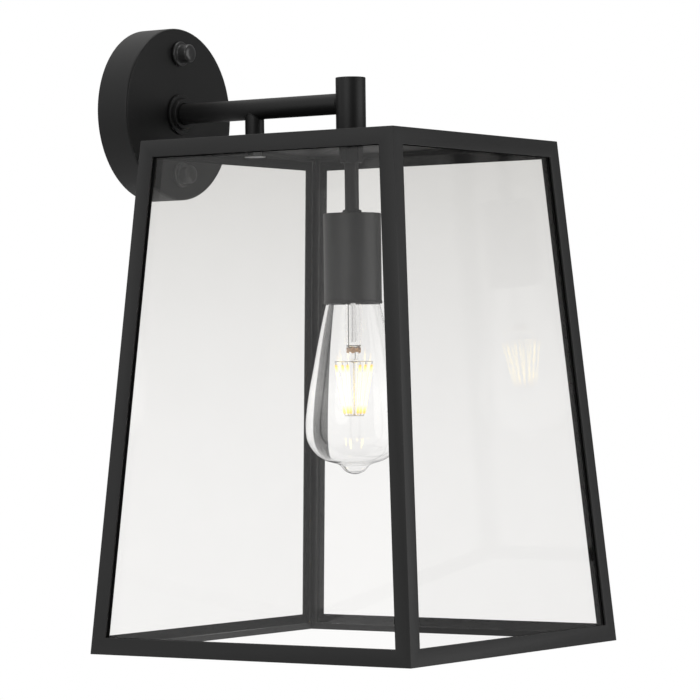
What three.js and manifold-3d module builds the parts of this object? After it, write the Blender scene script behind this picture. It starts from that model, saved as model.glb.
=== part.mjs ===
// Outdoor wall lantern: a tapered four-sided glazed lantern, hung from a short
// wall arm, with one filament bulb in a cup-shaped lampholder.
//
// Millimetres. The wall is the plane y = 0 and the lantern stands out of it
// towards -Y. +Z is up, +X runs along the wall. The origin is on the wall, on
// the arm's axis, in the middle of the round canopy.

import * as THREE from 'three';
import * as BufferGeometryUtils from 'three/addons/utils/BufferGeometryUtils.js';
import Module from 'manifold-3d';

const wasm = await Module();
wasm.setup();

// ---------------------------------------------------------------- clearances
const GAP = 0.3;              // between pieces that touch or pass through each other
const PANE_CORNER_GAP = 0.6;  // between neighbouring panes inside a corner

// ------------------------------------------------------------ wall and canopy
const CANOPY_R = 59;
const CANOPY_DEPTH = 25;
const CANOPY_WALL = 1.5;
const CANOPY_EDGE_R = 1.6;
const GASKET_W = 2.2;
const GASKET_T = 3;
const BRACKET_W = 20;
const BRACKET_T = 2;
const BRACKET_TO_RIM = 9;     // bracket's end to the canopy's outside
const BRACKET_SLOT_L = 14;
const BRACKET_SLOT_W = 5;
const BRACKET_WIRE_HOLE_R = 7;
const STUD_R = 2;
const STUD_TO_RIM = 17.5;       // stud's axis to the canopy's outside
const STUD_IN_NUT = 7;        // stud length beyond the canopy's front
const CAP_NUT_R = 6.2;
const CAP_NUT_FLANGE = 2.4;   // how far its collar reaches past the knob
const CAP_NUT_FLANGE_T = 2.4;
const CAP_NUT_STRAIGHT = 5.7; // knob between the collar and its domed end
const CAP_NUT_DOME = 2.4;     // rise of the domed end
const CAP_NUT_BORE = 8;
const EARTH_SCREW_R = 2;
const EARTH_SCREW_HEAD_R = 4;
const EARTH_SCREW_HEAD_T = 2.4;
const EARTH_SCREW_X = 5.5;
const EARTH_SCREW_Z = 12;

// ------------------------------------------------------- arm, post and strut
const ARM_R = 7;
const ARM_WALL = 1.2;
const ARM_TAIL = 6.5;         // threaded end inside the canopy
const ARM_NUT_WALL = 3.7;     // from a nut's bore to its flats
const ARM_NUT_T = 5;
const FLANGE_RIM = 3.4;       // width of the flange's outer step
const FLANGE_T = 2;
const FLANGE_STEP = 3.1;      // width of its inner step
const FLANGE_STEP_T = 2.2;
const POST_R = 10;
const POST_WALL = 1.5;
const POST_ABOVE_ARM = 17;    // top of the post over the arm's axis
const POST_CAP_T = 2.4;
const POST_CAP_INSET = 0.4;
const PLUG_T = 8;
const STRUT_R = 6.5;
const STRUT_FROM_POST = 79;   // strut axis to post axis
const STRUT_SCREW_R = 2.4;
const STRUT_SCREW_HEAD_R = 7.1;
const STRUT_SCREW_HEAD_T = 1.7;
const STRUT_SCREW_GRIP = 9;   // screw length inside the strut
const STRUT_NUT_WALL = 1.3;
const STRUT_NUT_T = 3.4;

// ------------------------------------------------------------- lantern frame
const PROJECTION = 167.5;     // wall to the lantern's axis
const TOP_BELOW_ARM = 25.3;   // arm's axis down to the top plate's upper face
const TOP_HALF = 99.5;        // half width over the top
const BOTTOM_HALF = 125.6;     // half width over the bottom
const LANTERN_H = 335.7;
const PLATE_T = 1.5;
const LEG = 11;               // width of an angle's leg and of every rail
const LEG_T = 1.8;
const PANE_T = 3;
const PANE_COVER = 6.4;       // how far a pane reaches behind the top and bottom rails
const BEAD_T = 0.6;
const BEAD_SHOW = 1.5;        // how far a bead shows past the rails and legs

// ------------------------------------------------------ rod and lampholder
const ROD_R = 4.7;
const ROD_IN_HOLDER = 8;
const COUPLING_WALL = 2;
const COUPLING_H = 12.6;
const CUP_NUT_WALL = 0.5;
const CUP_NUT_T = 2.1;
const CUP_BELOW_PLATE = 46.5; // underside of the top plate to the cup's roof
const CUP_H = 60;
const CUP_WALL = 1.2;
const CUP_CLEARANCE = 1.5;    // lampholder to the cup's inside
const HOLDER_WALL = 2.1;
const HOLDER_ROOF = 16;
const HOLDER_ABOVE_CAP = 2.5; // lampholder's mouth over the lower edge of the bulb's cap
const SHELL_T = 0.5;
const SHELL_CLEARANCE = 0.7;  // bulb's cap to the screw shell
const SHELL_BELOW_ROOF = 4;
const CONTACT_W = 5;
const CONTACT_T = 0.6;
const CONTACT_DROP = 5.5;     // lampholder's ceiling to the bulb's tip contact

// ---------------------------------------------------------------------- bulb
const BULB_R = 32.5;
const BULB_LENGTH = 150;
const NECK_CLEARANCE = 0.5;   // glass to the cup's mouth
const GLASS_T = 0.9;
const CAP_R = 13.2;
const CAP_T = 0.5;
const CAP_H = 26;
const CAP_SHOULDER = 3;
const TIP_CONTACT_R = 4.4;
const STEM_R = 5.2;
const STEM_LENGTH = 48.5;
const FILAMENT_COUNT = 6;
const FILAMENT_R = 0.9;
const FILAMENT_TURN = 14;     // degrees, sets the ring of filaments
const FILAMENT_TOP_R = 12.8;
const FILAMENT_LOW_R = 6.5;
const FILAMENT_DROP = 35;     // height between the two ends of a filament
const WIRE_R = 0.6;
const FOOT_R = 6.4;
const FOOT_T = 0.8;

// --------------------------------------------------------------- electrics
const LEAD_R = 2.2;
const LEAD_CLEARANCE = 0.8;   // lead to the rod's bore
const BLOCK_X = 14;           // near side of the terminal block
const BLOCK_W = 20;
const BLOCK_DEPTH = 9;
const BLOCK_H = 14;
const BLOCK_FROM_WALL = 4;

// ------------------------------------------------------- levels and centres
const FRONT_Y = -CANOPY_DEPTH;
const INNER_FRONT_Y = FRONT_Y + CANOPY_WALL;
const AXIS_Y = -PROJECTION;
const TOP_Z = -TOP_BELOW_ARM;
const PLATE_LOW_Z = TOP_Z - PLATE_T;
const BOTTOM_Z = TOP_Z - LANTERN_H;
const TAPER = (BOTTOM_HALF - TOP_HALF) / LANTERN_H;
const STUD_Z = CANOPY_R - STUD_TO_RIM;
const STRUT_Y = AXIS_Y + STRUT_FROM_POST;
const CUP_TOP_Z = PLATE_LOW_Z - CUP_BELOW_PLATE;
const CUP_LOW_Z = CUP_TOP_Z - CUP_H;
const HOLDER_TOP_Z = CUP_TOP_Z - CUP_WALL - GAP;
const HOLDER_CEILING_Z = HOLDER_TOP_Z - HOLDER_ROOF;
const ROD_LOW_Z = HOLDER_TOP_Z - ROD_IN_HOLDER;
const BULB_TOP_Z = HOLDER_CEILING_Z - CONTACT_DROP;
const BULB_TIP_Z = BULB_TOP_Z - BULB_LENGTH;
const CAP_LOW_Z = BULB_TOP_Z - CAP_H;
const HOLDER_LOW_Z = CAP_LOW_Z + HOLDER_ABOVE_CAP;
const STEM_LOW_Z = CAP_LOW_Z - STEM_LENGTH;

// the lampholder is built out from the bulb's cap, and the cup from the lampholder
const ROD_BORE_R = LEAD_R + LEAD_CLEARANCE;
const SHELL_R = CAP_R + SHELL_CLEARANCE + SHELL_T;
const HOLDER_BORE_R = SHELL_R + GAP;
const HOLDER_R = HOLDER_BORE_R + HOLDER_WALL;
const CUP_BORE_R = HOLDER_R + CUP_CLEARANCE;
const CUP_R = CUP_BORE_R + CUP_WALL;

// half width of the lantern's outside at height z
const halfAt = (z) => TOP_HALF + (TOP_Z - z) * TAPER;

// ------------------------------------------------------------------ finishes
const material = (color, roughness, metalness, extra = {}) =>
  new THREE.MeshStandardMaterial({ color, roughness, metalness, ...extra });

const BLACK_PAINT = material(0x2b2b2c, 0.45, 0.3);
const CUP_PAINT = material(0x3c3c3e, 0.5, 0.3);
const ZINC = material(0xa9aaa6, 0.35, 0.9);
const BRASS = material(0xb08d4a, 0.35, 0.9);
const NICKEL = material(0xc8c6c0, 0.3, 1.0);
const GLASS = material(0xeef0f0, 0.05, 0.0, { transparent: true, opacity: 0.3 });
const RUBBER = material(0x151515, 0.8, 0.0);
const FOAM = material(0x2a2a2a, 0.95, 0.0);
const PHENOLIC = material(0x1d1a18, 0.55, 0.0);
const NYLON = material(0xe6e4dc, 0.6, 0.0);
const PHOSPHOR = material(0xf6d98a, 0.6, 0.0);
const LEAD_SKIN = material(0x202020, 0.7, 0.0);

// ------------------------------------------------------------- small helpers
const lantern = new THREE.Group();

function add(name, geometry, finish) {
  const mesh = new THREE.Mesh(geometry, finish);
  mesh.name = name;
  lantern.add(mesh);
  return mesh;
}

// Vertices at one place are joined, and faces without area are dropped.
function welded(geometry) {
  const bare = geometry.clone();
  bare.deleteAttribute('normal');
  bare.deleteAttribute('uv');
  const merged = BufferGeometryUtils.mergeVertices(bare, 1e-4);
  const corners = merged.index.array;
  const kept = [];
  for (let i = 0; i < corners.length; i += 3) {
    const [a, b, c] = [corners[i], corners[i + 1], corners[i + 2]];
    if (a !== b && b !== c && c !== a) kept.push(a, b, c);
  }
  merged.setIndex(kept);
  return merged;
}

function volumeOf(geometry) {
  const p = geometry.attributes.position;
  const corners = geometry.index.array;
  const [a, b, c] = [new THREE.Vector3(), new THREE.Vector3(), new THREE.Vector3()];
  let sum = 0;
  for (let i = 0; i < corners.length; i += 3) {
    a.fromBufferAttribute(p, corners[i]);
    b.fromBufferAttribute(p, corners[i + 1]);
    c.fromBufferAttribute(p, corners[i + 2]);
    sum += a.dot(b.cross(c));
  }
  return sum / 6;
}

// A closed geometry with its faces pointing out.
function closed(geometry) {
  const shape = welded(geometry);
  if (volumeOf(shape) < 0) {
    const corners = shape.index.array;
    for (let i = 0; i < corners.length; i += 3) {
      [corners[i + 1], corners[i + 2]] = [corners[i + 2], corners[i + 1]];
    }
  }
  shape.computeVertexNormals();
  return shape;
}

function toManifold(geometry) {
  const shape = closed(geometry);
  return new wasm.Manifold(new wasm.Mesh({
    numProp: 3,
    vertProperties: new Float32Array(shape.attributes.position.array),
    triVerts: new Uint32Array(shape.index.array),
  }));
}

function fromManifold(solid) {
  const mesh = solid.getMesh();
  const geometry = new THREE.BufferGeometry();
  geometry.setAttribute('position', new THREE.BufferAttribute(new Float32Array(mesh.vertProperties), 3));
  geometry.setIndex(Array.from(mesh.triVerts));
  geometry.computeVertexNormals();
  return geometry;
}

function cut(geometry, ...tools) {
  let solid = toManifold(geometry);
  for (const tool of tools) solid = solid.subtract(toManifold(tool));
  return fromManifold(solid);
}

function joined(...geometries) {
  let solid = toManifold(geometries[0]);
  for (const piece of geometries.slice(1)) solid = solid.add(toManifold(piece));
  return fromManifold(solid);
}

// Round pieces: [radius, y] points turned about the arm's axis, or
// [radius, z] points turned about the lantern's vertical axis.
function turnedOnWallAxis(points, sides) {
  return new THREE.LatheGeometry(points.map(([r, y]) => new THREE.Vector2(r, y)), sides);
}

function turnedUpright(points, sides, x = 0, y = AXIS_Y) {
  return turnedOnWallAxis(points, sides).rotateX(Math.PI / 2).translate(x, y, 0);
}

const ring = (inner, outer, low, high) =>
  [[inner, low], [outer, low], [outer, high], [inner, high], [inner, low]];

const disc = (radius, low, high) => [[0, low], [radius, low], [radius, high], [0, high]];

// points on a quarter or part circle, angles in degrees
function arc(cx, cy, rx, ry, from, to, steps) {
  const points = [];
  for (let i = 0; i <= steps; i += 1) {
    const a = THREE.MathUtils.degToRad(from + ((to - from) * i) / steps);
    points.push([cx + rx * Math.cos(a), cy + ry * Math.sin(a)]);
  }
  return points;
}

// A hexagonal nut on the Z axis, standing from low to high. The wall is the
// least one, between the bore and the middle of a flat.
function hexNut(wall, boreR, low, high) {
  const outline = new THREE.Shape();
  const cornerR = ((boreR + wall) * 2) / Math.sqrt(3);
  for (let i = 0; i < 6; i += 1) {
    const a = ((i + 0.5) * Math.PI) / 3;
    const [x, y] = [cornerR * Math.cos(a), cornerR * Math.sin(a)];
    if (i === 0) outline.moveTo(x, y);
    else outline.lineTo(x, y);
  }
  outline.closePath();
  outline.holes.push(new THREE.Path().absarc(0, 0, boreR, 0, 2 * Math.PI, true));
  return new THREE.ExtrudeGeometry(outline, { depth: high - low, bevelEnabled: false, curveSegments: 10 })
    .translate(0, 0, low);
}

function plateShape(halfX, halfY) {
  const outline = new THREE.Shape();
  outline.moveTo(-halfX, -halfY);
  outline.lineTo(halfX, -halfY);
  outline.lineTo(halfX, halfY);
  outline.lineTo(-halfX, halfY);
  outline.closePath();
  return outline;
}

const extruded = (shape, depth, curveSegments = 10) =>
  new THREE.ExtrudeGeometry(shape, { depth, bevelEnabled: false, curveSegments });

// ---------------------------------------------------- canopy and wall bracket
function buildCanopy() {
  const edge = CANOPY_EDGE_R;
  const round = arc(CANOPY_R - edge, FRONT_Y + edge, edge, edge, 0, -90, 3);
  const shell = turnedOnWallAxis([
    [ARM_R + GAP, FRONT_Y], [ARM_R + GAP, INNER_FRONT_Y],
    [CANOPY_R - CANOPY_WALL, INNER_FRONT_Y], [CANOPY_R - CANOPY_WALL, 0],
    [CANOPY_R, 0], ...round, [ARM_R + GAP, FRONT_Y],
  ], 64);
  const studHole = (z) => new THREE.CylinderGeometry(STUD_R + GAP, STUD_R + GAP, CANOPY_WALL * 4, 16)
    .translate(0, FRONT_Y, z);
  add('canopy', cut(shell, studHole(STUD_Z), studHole(-STUD_Z)), BLACK_PAINT);

  const gasketR = CANOPY_R - CANOPY_WALL - GAP;
  add('wall_gasket', closed(turnedOnWallAxis(ring(gasketR - GASKET_W, gasketR, -GASKET_T, 0), 48)), FOAM);
}

function buildBracket() {
  const bar = plateShape(BRACKET_W / 2, CANOPY_R - BRACKET_TO_RIM);
  const roundHole = (x, z, r) => new THREE.Path().absarc(x, z, r, 0, 2 * Math.PI, true);
  bar.holes.push(
    roundHole(0, 0, BRACKET_WIRE_HOLE_R),
    roundHole(EARTH_SCREW_X, EARTH_SCREW_Z, EARTH_SCREW_R + GAP),
  );
  const slotZ = (BRACKET_WIRE_HOLE_R + STUD_Z) / 2;
  for (const side of [-1, 1]) {
    bar.holes.push(roundHole(0, side * STUD_Z, STUD_R + GAP));
    const slot = new THREE.Path();
    const run = (BRACKET_SLOT_L - BRACKET_SLOT_W) / 2;
    const r = BRACKET_SLOT_W / 2;
    slot.moveTo(r, side * slotZ - run);
    slot.absarc(0, side * slotZ - run, r, 0, -Math.PI, true);
    slot.absarc(0, side * slotZ + run, r, Math.PI, 0, true);
    slot.closePath();
    bar.holes.push(slot);
  }
  add('wall_bracket', closed(extruded(bar, BRACKET_T, 6).rotateX(Math.PI / 2)), ZINC);

  for (const [name, side] of [['upper', 1], ['lower', -1]]) {
    const stud = new THREE.CylinderGeometry(STUD_R, STUD_R, CANOPY_DEPTH + STUD_IN_NUT - GAP, 16)
      .translate(0, -(CANOPY_DEPTH + STUD_IN_NUT + GAP) / 2, side * STUD_Z);
    add(`stud_${name}`, closed(stud), ZINC);
  }

  const screw = turnedOnWallAxis([
    [0, -GAP], [EARTH_SCREW_R, -GAP], [EARTH_SCREW_R, -BRACKET_T - GAP],
    [EARTH_SCREW_HEAD_R, -BRACKET_T - GAP], [EARTH_SCREW_HEAD_R, -BRACKET_T - EARTH_SCREW_HEAD_T],
    [0, -BRACKET_T - EARTH_SCREW_HEAD_T - GAP],
  ], 16);
  add('earth_screw', closed(screw.translate(EARTH_SCREW_X, 0, EARTH_SCREW_Z)), BRASS);
}

function buildCapNut(name, z) {
  const seat = FRONT_Y - GAP;
  const collarR = CAP_NUT_R + CAP_NUT_FLANGE;
  const collarY = seat - CAP_NUT_FLANGE_T;
  const domeY = collarY - CAP_NUT_STRAIGHT;
  const dome = arc(0, domeY, CAP_NUT_R, CAP_NUT_DOME, 0, -90, 6).slice(0, -1);
  const boreR = STUD_R + GAP;
  const edge = 1;
  const nut = turnedOnWallAxis([
    [0, seat - CAP_NUT_BORE], [boreR, seat - CAP_NUT_BORE], [boreR, seat], [collarR, seat],
    ...arc(collarR - edge, collarY + edge, edge, edge, 0, -90, 2), [CAP_NUT_R, collarY],
    ...dome, [0, domeY - CAP_NUT_DOME],
  ], 28);
  add(name, closed(nut.translate(0, 0, z)), BLACK_PAINT);
}

function buildTerminalBlock() {
  const block = new THREE.BoxGeometry(BLOCK_W, BLOCK_DEPTH, BLOCK_H)
    .translate(BLOCK_X + BLOCK_W / 2, -BLOCK_FROM_WALL - BLOCK_DEPTH / 2, 0);
  const screwHole = (z) => new THREE.CylinderGeometry(1.8, 1.8, BLOCK_DEPTH, 10)
    .translate(BLOCK_X + BLOCK_W / 2, -BLOCK_FROM_WALL - BLOCK_DEPTH, z);
  add('terminal_block', cut(block, screwHole(BLOCK_H / 4), screwHole(-BLOCK_H / 4)), NYLON);
}

// --------------------------------------------------------- arm, post, strut
function buildArm() {
  const armStart = INNER_FRONT_Y + ARM_TAIL;
  const armEnd = AXIS_Y + POST_R - POST_WALL - GAP;
  add('arm', closed(turnedOnWallAxis(ring(ARM_R - ARM_WALL, ARM_R, armEnd, armStart), 28)), BLACK_PAINT);

  const seat = FRONT_Y - GAP;
  const bore = ARM_R + GAP;
  const step = seat - FLANGE_T;
  const end = step - FLANGE_STEP_T;
  const stepR = bore + FLANGE_STEP;
  const rimR = stepR + FLANGE_RIM;
  const round = 1;
  add('arm_flange', closed(turnedOnWallAxis([
    [bore, seat], [rimR, seat],
    ...arc(rimR - round, step + round, round, round, 0, -90, 2),
    [stepR, step], ...arc(stepR - round, end + round, round, round, 0, -90, 2),
    [bore, end], [bore, seat],
  ], 32)), BLACK_PAINT);

  const nut = hexNut(ARM_NUT_WALL, bore, 0, ARM_NUT_T).rotateX(Math.PI / 2)
    .translate(0, INNER_FRONT_Y + GAP + ARM_NUT_T, 0);
  add('arm_lock_nut', closed(nut), ZINC);
}

function buildPost() {
  const bore = POST_R - POST_WALL;
  const tube = turnedUpright(ring(bore, POST_R, TOP_Z + GAP, POST_ABOVE_ARM), 32);
  const armHole = new THREE.CylinderGeometry(ARM_R + GAP, ARM_R + GAP, POST_R * 2, 28)
    .translate(0, AXIS_Y + POST_R, 0);
  add('post', cut(tube, armHole), BLACK_PAINT);

  const capTop = POST_ABOVE_ARM - POST_CAP_INSET;
  add('post_cap', closed(turnedUpright(disc(bore - GAP, capTop - POST_CAP_T, capTop), 32)), BLACK_PAINT);
  const plug = ring(ROD_R + GAP, bore - GAP, TOP_Z + GAP, TOP_Z + PLUG_T);
  add('post_plug', closed(turnedUpright(plug, 24)), ZINC);
}

function buildStrut() {
  const bar = new THREE.CylinderGeometry(STRUT_R, STRUT_R, TOP_BELOW_ARM, 28).rotateX(Math.PI / 2)
    .translate(0, STRUT_Y, -TOP_BELOW_ARM / 2 + GAP);
  const armSaddle = new THREE.CylinderGeometry(ARM_R + GAP, ARM_R + GAP, STRUT_R * 4, 28)
    .translate(0, STRUT_Y, 0);
  const bore = new THREE.CylinderGeometry(STRUT_SCREW_R + GAP, STRUT_SCREW_R + GAP, STRUT_SCREW_GRIP * 2, 16)
    .rotateX(Math.PI / 2).translate(0, STRUT_Y, TOP_Z + GAP);
  add('strut', cut(bar, armSaddle, bore), BLACK_PAINT);

  const nutLow = PLATE_LOW_Z - GAP - STRUT_NUT_T;
  const nut = hexNut(STRUT_NUT_WALL, STRUT_SCREW_R + GAP, nutLow, PLATE_LOW_Z - GAP);
  add('strut_nut', closed(nut.translate(0, STRUT_Y, 0)), ZINC);

  const headTop = nutLow - GAP;
  const headLow = headTop - STRUT_SCREW_HEAD_T;
  add('strut_screw', closed(turnedUpright([
    [0, headLow], [STRUT_SCREW_HEAD_R * 0.6, headLow],
    [STRUT_SCREW_HEAD_R, headLow + STRUT_SCREW_HEAD_T * 0.6], [STRUT_SCREW_HEAD_R, headTop],
    [STRUT_SCREW_R, headTop],
    [STRUT_SCREW_R, TOP_Z + STRUT_SCREW_GRIP - GAP], [0, TOP_Z + STRUT_SCREW_GRIP - GAP],
  ], 24, 0, STRUT_Y)), ZINC);
}

// ---------------------------------------------------------------- the frame
// The four sides are the front, turned about the lantern's axis.
const SIDES = [['front', 0], ['right', 90], ['back', 180], ['left', 270]];

const turnedToSide = (geometry, degrees) =>
  geometry.rotateZ(THREE.MathUtils.degToRad(degrees)).translate(0, AXIS_Y, 0);

// Local (u, z, out) of a sloping side to the front's place about the axis:
// u runs along the side, z is the height, out is 0 on its outer face.
function onFrontSlope(geometry) {
  const slope = new THREE.Matrix4().set(
    1, 0, 0, 0,
    0, TAPER, -1, -(TOP_HALF + TOP_Z * TAPER),
    0, 1, 0, 0,
    0, 0, 0, 1,
  );
  return geometry.applyMatrix4(slope);
}

// A four-sided outline on a side: inset from the corner edges, low to high.
function sideOutline(Kind, inset, low, high) {
  const outline = new Kind();
  outline.moveTo(-(halfAt(low) - inset), low);
  outline.lineTo(halfAt(low) - inset, low);
  outline.lineTo(halfAt(high) - inset, high);
  outline.lineTo(-(halfAt(high) - inset), high);
  outline.closePath();
  return outline;
}

// depth runs inwards from the outer face
function sidePanel(shape, depthFrom, depthTo) {
  return onFrontSlope(extruded(shape, depthTo - depthFrom).translate(0, 0, -depthTo));
}

function buildFrame() {
  const plate = plateShape(TOP_HALF, TOP_HALF);
  plate.holes.push(new THREE.Path().absarc(0, 0, ROD_R + GAP, 0, 2 * Math.PI, true));
  plate.holes.push(new THREE.Path().absarc(0, STRUT_FROM_POST, STRUT_SCREW_R + GAP, 0, 2 * Math.PI, true));
  add('top_plate', closed(extruded(plate, PLATE_T).translate(0, AXIS_Y, PLATE_LOW_Z)), BLACK_PAINT);

  const postTop = PLATE_LOW_Z - GAP;
  const railInset = LEG + GAP;
  for (const [side, degrees] of SIDES) {
    const topRail = sidePanel(sideOutline(THREE.Shape, railInset, TOP_Z - LEG, postTop), 0, LEG_T);
    add(`top_rail_${side}`, closed(turnedToSide(topRail, degrees)), BLACK_PAINT);
    const lowRail = sidePanel(sideOutline(THREE.Shape, railInset, BOTTOM_Z, BOTTOM_Z + LEG), 0, LEG_T);
    add(`bottom_rail_${side}`, closed(turnedToSide(lowRail, degrees)), BLACK_PAINT);
  }

  // an equal angle, sheared outwards along both legs as it comes down
  const angle = new THREE.Shape();
  angle.moveTo(0, 0);
  angle.lineTo(LEG, 0);
  angle.lineTo(LEG, LEG_T);
  angle.lineTo(LEG_T, LEG_T);
  angle.lineTo(LEG_T, LEG);
  angle.lineTo(0, LEG);
  angle.closePath();
  const splay = new THREE.Matrix4().set(
    1, 0, TAPER, -(TOP_HALF + TOP_Z * TAPER),
    0, 1, TAPER, -(TOP_HALF + TOP_Z * TAPER),
    0, 0, 1, 0,
    0, 0, 0, 1,
  );
  const corners = [['front_left', 0], ['front_right', 90], ['back_right', 180], ['back_left', 270]];
  for (const [corner, degrees] of corners) {
    const post = extruded(angle, postTop - BOTTOM_Z).translate(0, 0, BOTTOM_Z).applyMatrix4(splay);
    add(`corner_post_${corner}`, closed(turnedToSide(post, degrees)), BLACK_PAINT);
  }
}

function buildGlazing() {
  const beadFrom = LEG_T + GAP;
  const paneFrom = beadFrom + BEAD_T + GAP;
  const paneInset = paneFrom + PANE_T + PANE_CORNER_GAP;
  const low = BOTTOM_Z + LEG - PANE_COVER;
  const high = TOP_Z - LEG + PANE_COVER;
  const showInset = LEG + BEAD_SHOW;
  for (const [side, degrees] of SIDES) {
    const pane = sidePanel(sideOutline(THREE.Shape, paneInset, low, high), paneFrom, paneFrom + PANE_T);
    add(`glass_${side}`, closed(turnedToSide(pane, degrees)), GLASS);

    const bead = sideOutline(THREE.Shape, paneInset, low, high);
    bead.holes.push(sideOutline(THREE.Path, showInset, BOTTOM_Z + showInset, TOP_Z - showInset));
    const strip = sidePanel(bead, beadFrom, beadFrom + BEAD_T);
    add(`glazing_bead_${side}`, closed(turnedToSide(strip, degrees)), RUBBER);
  }
}

// ------------------------------------------------------ rod, cup, lampholder
function buildHanger() {
  add('threaded_rod', closed(turnedUpright(
    ring(ROD_BORE_R, ROD_R, ROD_LOW_Z + GAP, TOP_Z + PLUG_T - GAP), 24)), BLACK_PAINT);

  const couplingTop = PLATE_LOW_Z - GAP;
  const coupling = hexNut(COUPLING_WALL, ROD_R + GAP, couplingTop - COUPLING_H, couplingTop)
    .rotateZ(THREE.MathUtils.degToRad(12)).translate(0, AXIS_Y, 0);
  add('coupling_nut', closed(coupling), BLACK_PAINT);

  const cupNut = hexNut(CUP_NUT_WALL, ROD_R + GAP, CUP_TOP_Z + GAP, CUP_TOP_Z + GAP + CUP_NUT_T);
  add('cup_nut', closed(cupNut.translate(0, AXIS_Y, 0)), BLACK_PAINT);

  const edge = 1;
  add('socket_cup', closed(turnedUpright([
    [ROD_R + GAP, CUP_TOP_Z - CUP_WALL], [CUP_BORE_R, CUP_TOP_Z - CUP_WALL],
    [CUP_BORE_R, CUP_LOW_Z], [CUP_R, CUP_LOW_Z],
    ...arc(CUP_R - edge, CUP_TOP_Z - edge, edge, edge, 0, 90, 2),
    [ROD_R + GAP, CUP_TOP_Z], [ROD_R + GAP, CUP_TOP_Z - CUP_WALL],
  ], 40)), CUP_PAINT);

  add('lampholder', closed(turnedUpright([
    [ROD_R + GAP, HOLDER_TOP_Z], [HOLDER_R, HOLDER_TOP_Z], [HOLDER_R, HOLDER_LOW_Z],
    [HOLDER_BORE_R, HOLDER_LOW_Z], [HOLDER_BORE_R, HOLDER_CEILING_Z],
    [LEAD_R + GAP, HOLDER_CEILING_Z], [LEAD_R + GAP, ROD_LOW_Z], [ROD_R + GAP, ROD_LOW_Z],
    [ROD_R + GAP, HOLDER_TOP_Z],
  ], 28)), PHENOLIC);

  const shellTop = HOLDER_CEILING_Z - SHELL_BELOW_ROOF;
  add('socket_shell', closed(turnedUpright(
    ring(SHELL_R - SHELL_T, SHELL_R, HOLDER_LOW_Z + GAP, shellTop), 28)), BRASS);

  // centre contact: a bent strip from the ceiling down to the bulb's tip contact
  const strip = new THREE.Shape();
  const drop = HOLDER_CEILING_Z - GAP;
  const touch = BULB_TOP_Z + GAP;
  strip.moveTo(-9, drop);
  strip.lineTo(-4, drop);
  strip.lineTo(3, touch + CONTACT_T);
  strip.lineTo(3, touch);
  strip.lineTo(2.4, touch);
  strip.lineTo(-4.3, drop - CONTACT_T);
  strip.lineTo(-9, drop - CONTACT_T);
  strip.closePath();
  add('centre_contact', closed(extruded(strip, CONTACT_W).rotateX(Math.PI / 2)
    .translate(0, AXIS_Y + CONTACT_W / 2, 0)), BRASS);
}

// ---------------------------------------------------------------------- bulb
// The glass below the cup, as shares of its height there: first the drawn-out
// tip and the round base, as shares of the widest radius, then the long cone,
// as shares of the way from the cup's mouth out to the widest radius.
const BULB_BASE = [
  [0.1, 0.004], [0.2, 0.018], [0.27, 0.04], [0.34, 0.058], [0.6, 0.082], [0.81, 0.125], [0.95, 0.187],
];
const BULB_CONE = [
  [0.99, 0.24], [1, 0.3], [0.93, 0.39], [0.8, 0.5], [0.62, 0.62], [0.4, 0.77], [0.17, 0.91],
];

function bulbProfile() {
  const mouthR = CUP_BORE_R - NECK_CLEARANCE;
  const neckR = CAP_R - CAP_T - GAP;
  const height = CUP_LOW_Z - BULB_TIP_Z;
  return [
    ...BULB_BASE.map(([r, h]) => [BULB_R * r, BULB_TIP_Z + height * h]),
    ...BULB_CONE.map(([r, h]) => [mouthR + (BULB_R - mouthR) * r, BULB_TIP_Z + height * h]),
    [mouthR, CUP_LOW_Z], [neckR + (mouthR - neckR) * 0.45, (CUP_LOW_Z + CAP_LOW_Z) / 2],
    [neckR, CAP_LOW_Z - GAP], [neckR, HOLDER_LOW_Z],
  ];
}

// the profile moved inwards by the glass's thickness, square to each stretch
function insetProfile(points, by) {
  return points.map(([r, z], i) => {
    const [r0, z0] = points[Math.max(i - 1, 0)];
    const [r1, z1] = points[Math.min(i + 1, points.length - 1)];
    const run = Math.hypot(r1 - r0, z1 - z0);
    return [r - ((z1 - z0) / run) * by, z + ((r1 - r0) / run) * by];
  });
}

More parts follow.
